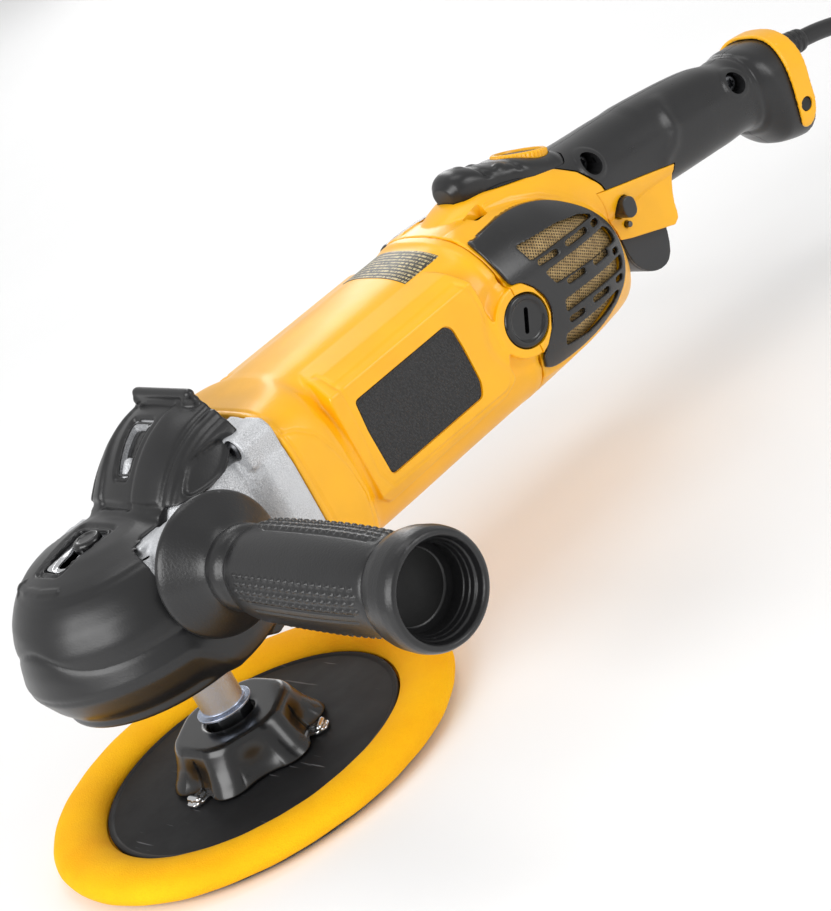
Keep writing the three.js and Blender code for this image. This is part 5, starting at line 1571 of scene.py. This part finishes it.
# ---- side handle ----
def dashes(angle, along):
    """Raised dashes in two broad bands on the front and on the back of the grip."""
    turn = np.degrees(angle) % 180
    height = np.zeros_like(angle)
    for start, rows in ((1.5, 4), (92, 4)):
        for k in range(rows):
            row = start + 4 + 8.6 * k
            across = np.exp(-(((turn - row + 90) % 180 - 90) / 2.1) ** 2)
            phase = (along - 93 + 2.1 * (k % 2)) % 4.2
            run = ramp(0.4, 1.0, phase) * (1 - ramp(3.0, 3.7, phase))
            height += 0.75 * across * run
    inside = ramp(92, 93.5, along) * (1 - ramp(166, 167.5, along))
    border = 0.0
    for edge in (0.5, 40.2, 80.5, 90.5):
        border = border + np.exp(-(((turn - edge + 90) % 180 - 90) / 1.0) ** 2)
    lines = -0.45 * border * ramp(100, 101, along) * (1 - ramp(163, 164, along))
    return height * inside + lines


def make_side_grip():
    outline = [(7.5, 51.8), (13, 51.8), (25.2, 52.4), (27.4, 53.6), (28, 55.2), (27.6, 56.8),
               (26, 58.6), (21.6, 62.6), (17.6, 66.4), (15.9, 68.6), (15.6, 70), (16.4, 71.6),
               (16.6, 74.4), (16.0, 77), (14.7, 79), (14.6, 80.4), (16.2, 83), (17.6, 86.5), (18.5, 91),
               (19.0, 98), (19.3, 110), (19.5, 130), (19.4, 142), (18.9, 156), (18.2, 166),
               (17.6, 169.6), (16.6, 170.5)]
    curve = curve_through([(r, 0, h) for r, h in outline], 6)
    bore = [(16.4, 170.5), (13.5, 170.5), (13.5, 90), (7.5, 86), (7.5, 51.8)]
    profile = [(p[0], p[2]) for p in dense(curve, 0.5)] + bore

    def pattern(angle, radius, height):
        # Angle runs from the top of the grip over its front.
        over = (math.pi / 2 - angle) + math.pi
        return radius + dashes(over, np.full_like(angle, height)) * (radius > 16)

    grip = lathe("grip", profile, *SIDE_AXIS, 400, pattern)
    settled(grip, "side_handle_sleeve", "tool", "grain", ["side_handle_grip"], 60)


def make_side_ring():
    """The open ring at the end of the grip, with a near-black floor in it: painted shade that stands
    for the depth of the cup.
    """
    ring_profile = [(0, 171.1), (17.6, 171.1), (18.6, 172.2), (20.6, 175.4), (21.8, 180), (22.3, 186.5),
                    (21.9, 190.4), (20.8, 192.8), (19.2, 193.2), (18.3, 192.2), (17.9, 189.6),
                    (17.1, 188.8), (17.0, 187), (16.5, 186.4), (16.4, 184.4), (15.9, 183.8),
                    (15.8, 178.4), (14.2, 175.6), (0, 175.2)]
    end = lathe("end", rounded(ring_profile, 0.9, 5), *SIDE_AXIS, 200)
    settled(end, "side_handle_end_ring", "tool", "grain", ["side_handle_ring"], 45)
    # The floor is coloured near-black: painted shade of the cup's depth.
    floor = lathe("floor", rounded([(0, 175.4), (13.6, 175.4), (13.6, 176), (0, 176)], 0.2), *SIDE_AXIS,
                  96)
    settled(floor, "side_handle_cup_floor", "tool", "shade")


def make_side_stud():
    stud_profile = [(0, 37.5), (4.3, 37.5)]
    for k in range(9):
        h = 38 + 1.5 * k
        stud_profile += [(4.4, h), (4.9, h + 0.5), (4.9, h + 0.75), (4.4, h + 1.25)]
    stud_profile += [(4.9, 52), (4.9, 53), (7.2, 53.3), (7.2, 55.5), (4.9, 55.8), (4.9, 80), (0, 80)]
    stud = lathe("stud", stud_profile, *SIDE_AXIS, 64)
    settled(stud, "side_handle_thread", "tool", "steel", ["side_handle_stud"])


# ---- materials of the CAD pieces that stay ----
KEPT = {
    "bevel_gear": "dark_steel", "spindle_bearing": "steel", "bearing_plate": "cast",
    "armature_shaft": "steel", "motor_pinion": "dark_steel", "motor_bearing_front": "steel",
    "fan": "black", "field_stator": "dark_steel", "armature_core": "copper", "commutator": "copper",
    "motor_bearing_rear": "steel", "counter_shaft": "dark_steel", "bevel_pinion": "dark_steel",
    "counter_bearing": "steel", "counter_gear": "dark_steel", "gear_plate": "cast",
    "carbon_brush_left": "carbon", "carbon_brush_right": "carbon",
}


def dress_cad():
    for name, finish in KEPT.items():
        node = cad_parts[name]
        node.data.materials.clear()
        node.data.materials.append(MATERIALS[finish])


# ---- floor and lights ----
def make_stage():
    bpy.ops.mesh.primitive_plane_add(size=12, location=(0, 0, -0.0004))
    floor = bpy.context.object
    floor.name = "floor"
    n = Nodes("pale_floor")
    tone = n.mixed(n.noise(6, 3), (0.9, 0.9, 0.9), (0.94, 0.94, 0.94))
    n.base(tone)
    n.put(Roughness=0.65)
    floor.data.materials.append(n.material)


def area_light(name, place, aim, size, power):
    data = bpy.data.lights.new(name, "AREA")
    data.shape = "RECTANGLE"
    data.size, data.size_y = size
    data.energy = power
    light = bpy.data.objects.new(name, data)
    light.location = place
    light.rotation_euler = (Vector(aim) - Vector(place)).to_track_quat("-Z", "Y").to_euler()
    bpy.context.scene.collection.objects.link(light)


def make_lights():
    world = bpy.data.worlds.new("studio")
    world.use_nodes = True
    world.node_tree.nodes["Background"].inputs["Color"].default_value = (1, 1, 1, 1)
    world.node_tree.nodes["Background"].inputs["Strength"].default_value = 0.66
    bpy.context.scene.world = world
    middle = (0.0, 0.12, 0.08)
    area_light("key", (0.25, -1.5, 0.95), middle, (1.5, 1.0), 24)
    area_light("side", (1.6, 0.95, 0.9), middle, (0.6, 1.1), 9)
    area_light("top", (-0.2, 0.5, 1.8), middle, (1.2, 0.5), 3.5)
    area_light("rim", (-1.1, 0.9, 0.7), middle, (0.2, 1.2), 2.5)
    scene = bpy.context.scene
    scene.view_settings.view_transform = "Standard"
    scene.view_settings.look = "None"


# ---- making everything ----
for make in (make_camera, make_cord, make_foam, make_backing, make_hub, make_hub_clips,
             make_spindle, make_gear_case, make_window_floors, make_boot, make_lock_button,
             make_screws, make_motor_housing, make_labels, make_rating_plate, make_rear_cap,
             make_vent_covers, make_brushes, make_handle, make_end_band, make_trigger_housing,
             make_trigger, make_lock_on, make_switch_module, make_dial_pod, make_dial,
             make_side_grip, make_side_ring, make_side_stud, dress_cad, make_stage, make_lights):
    make()
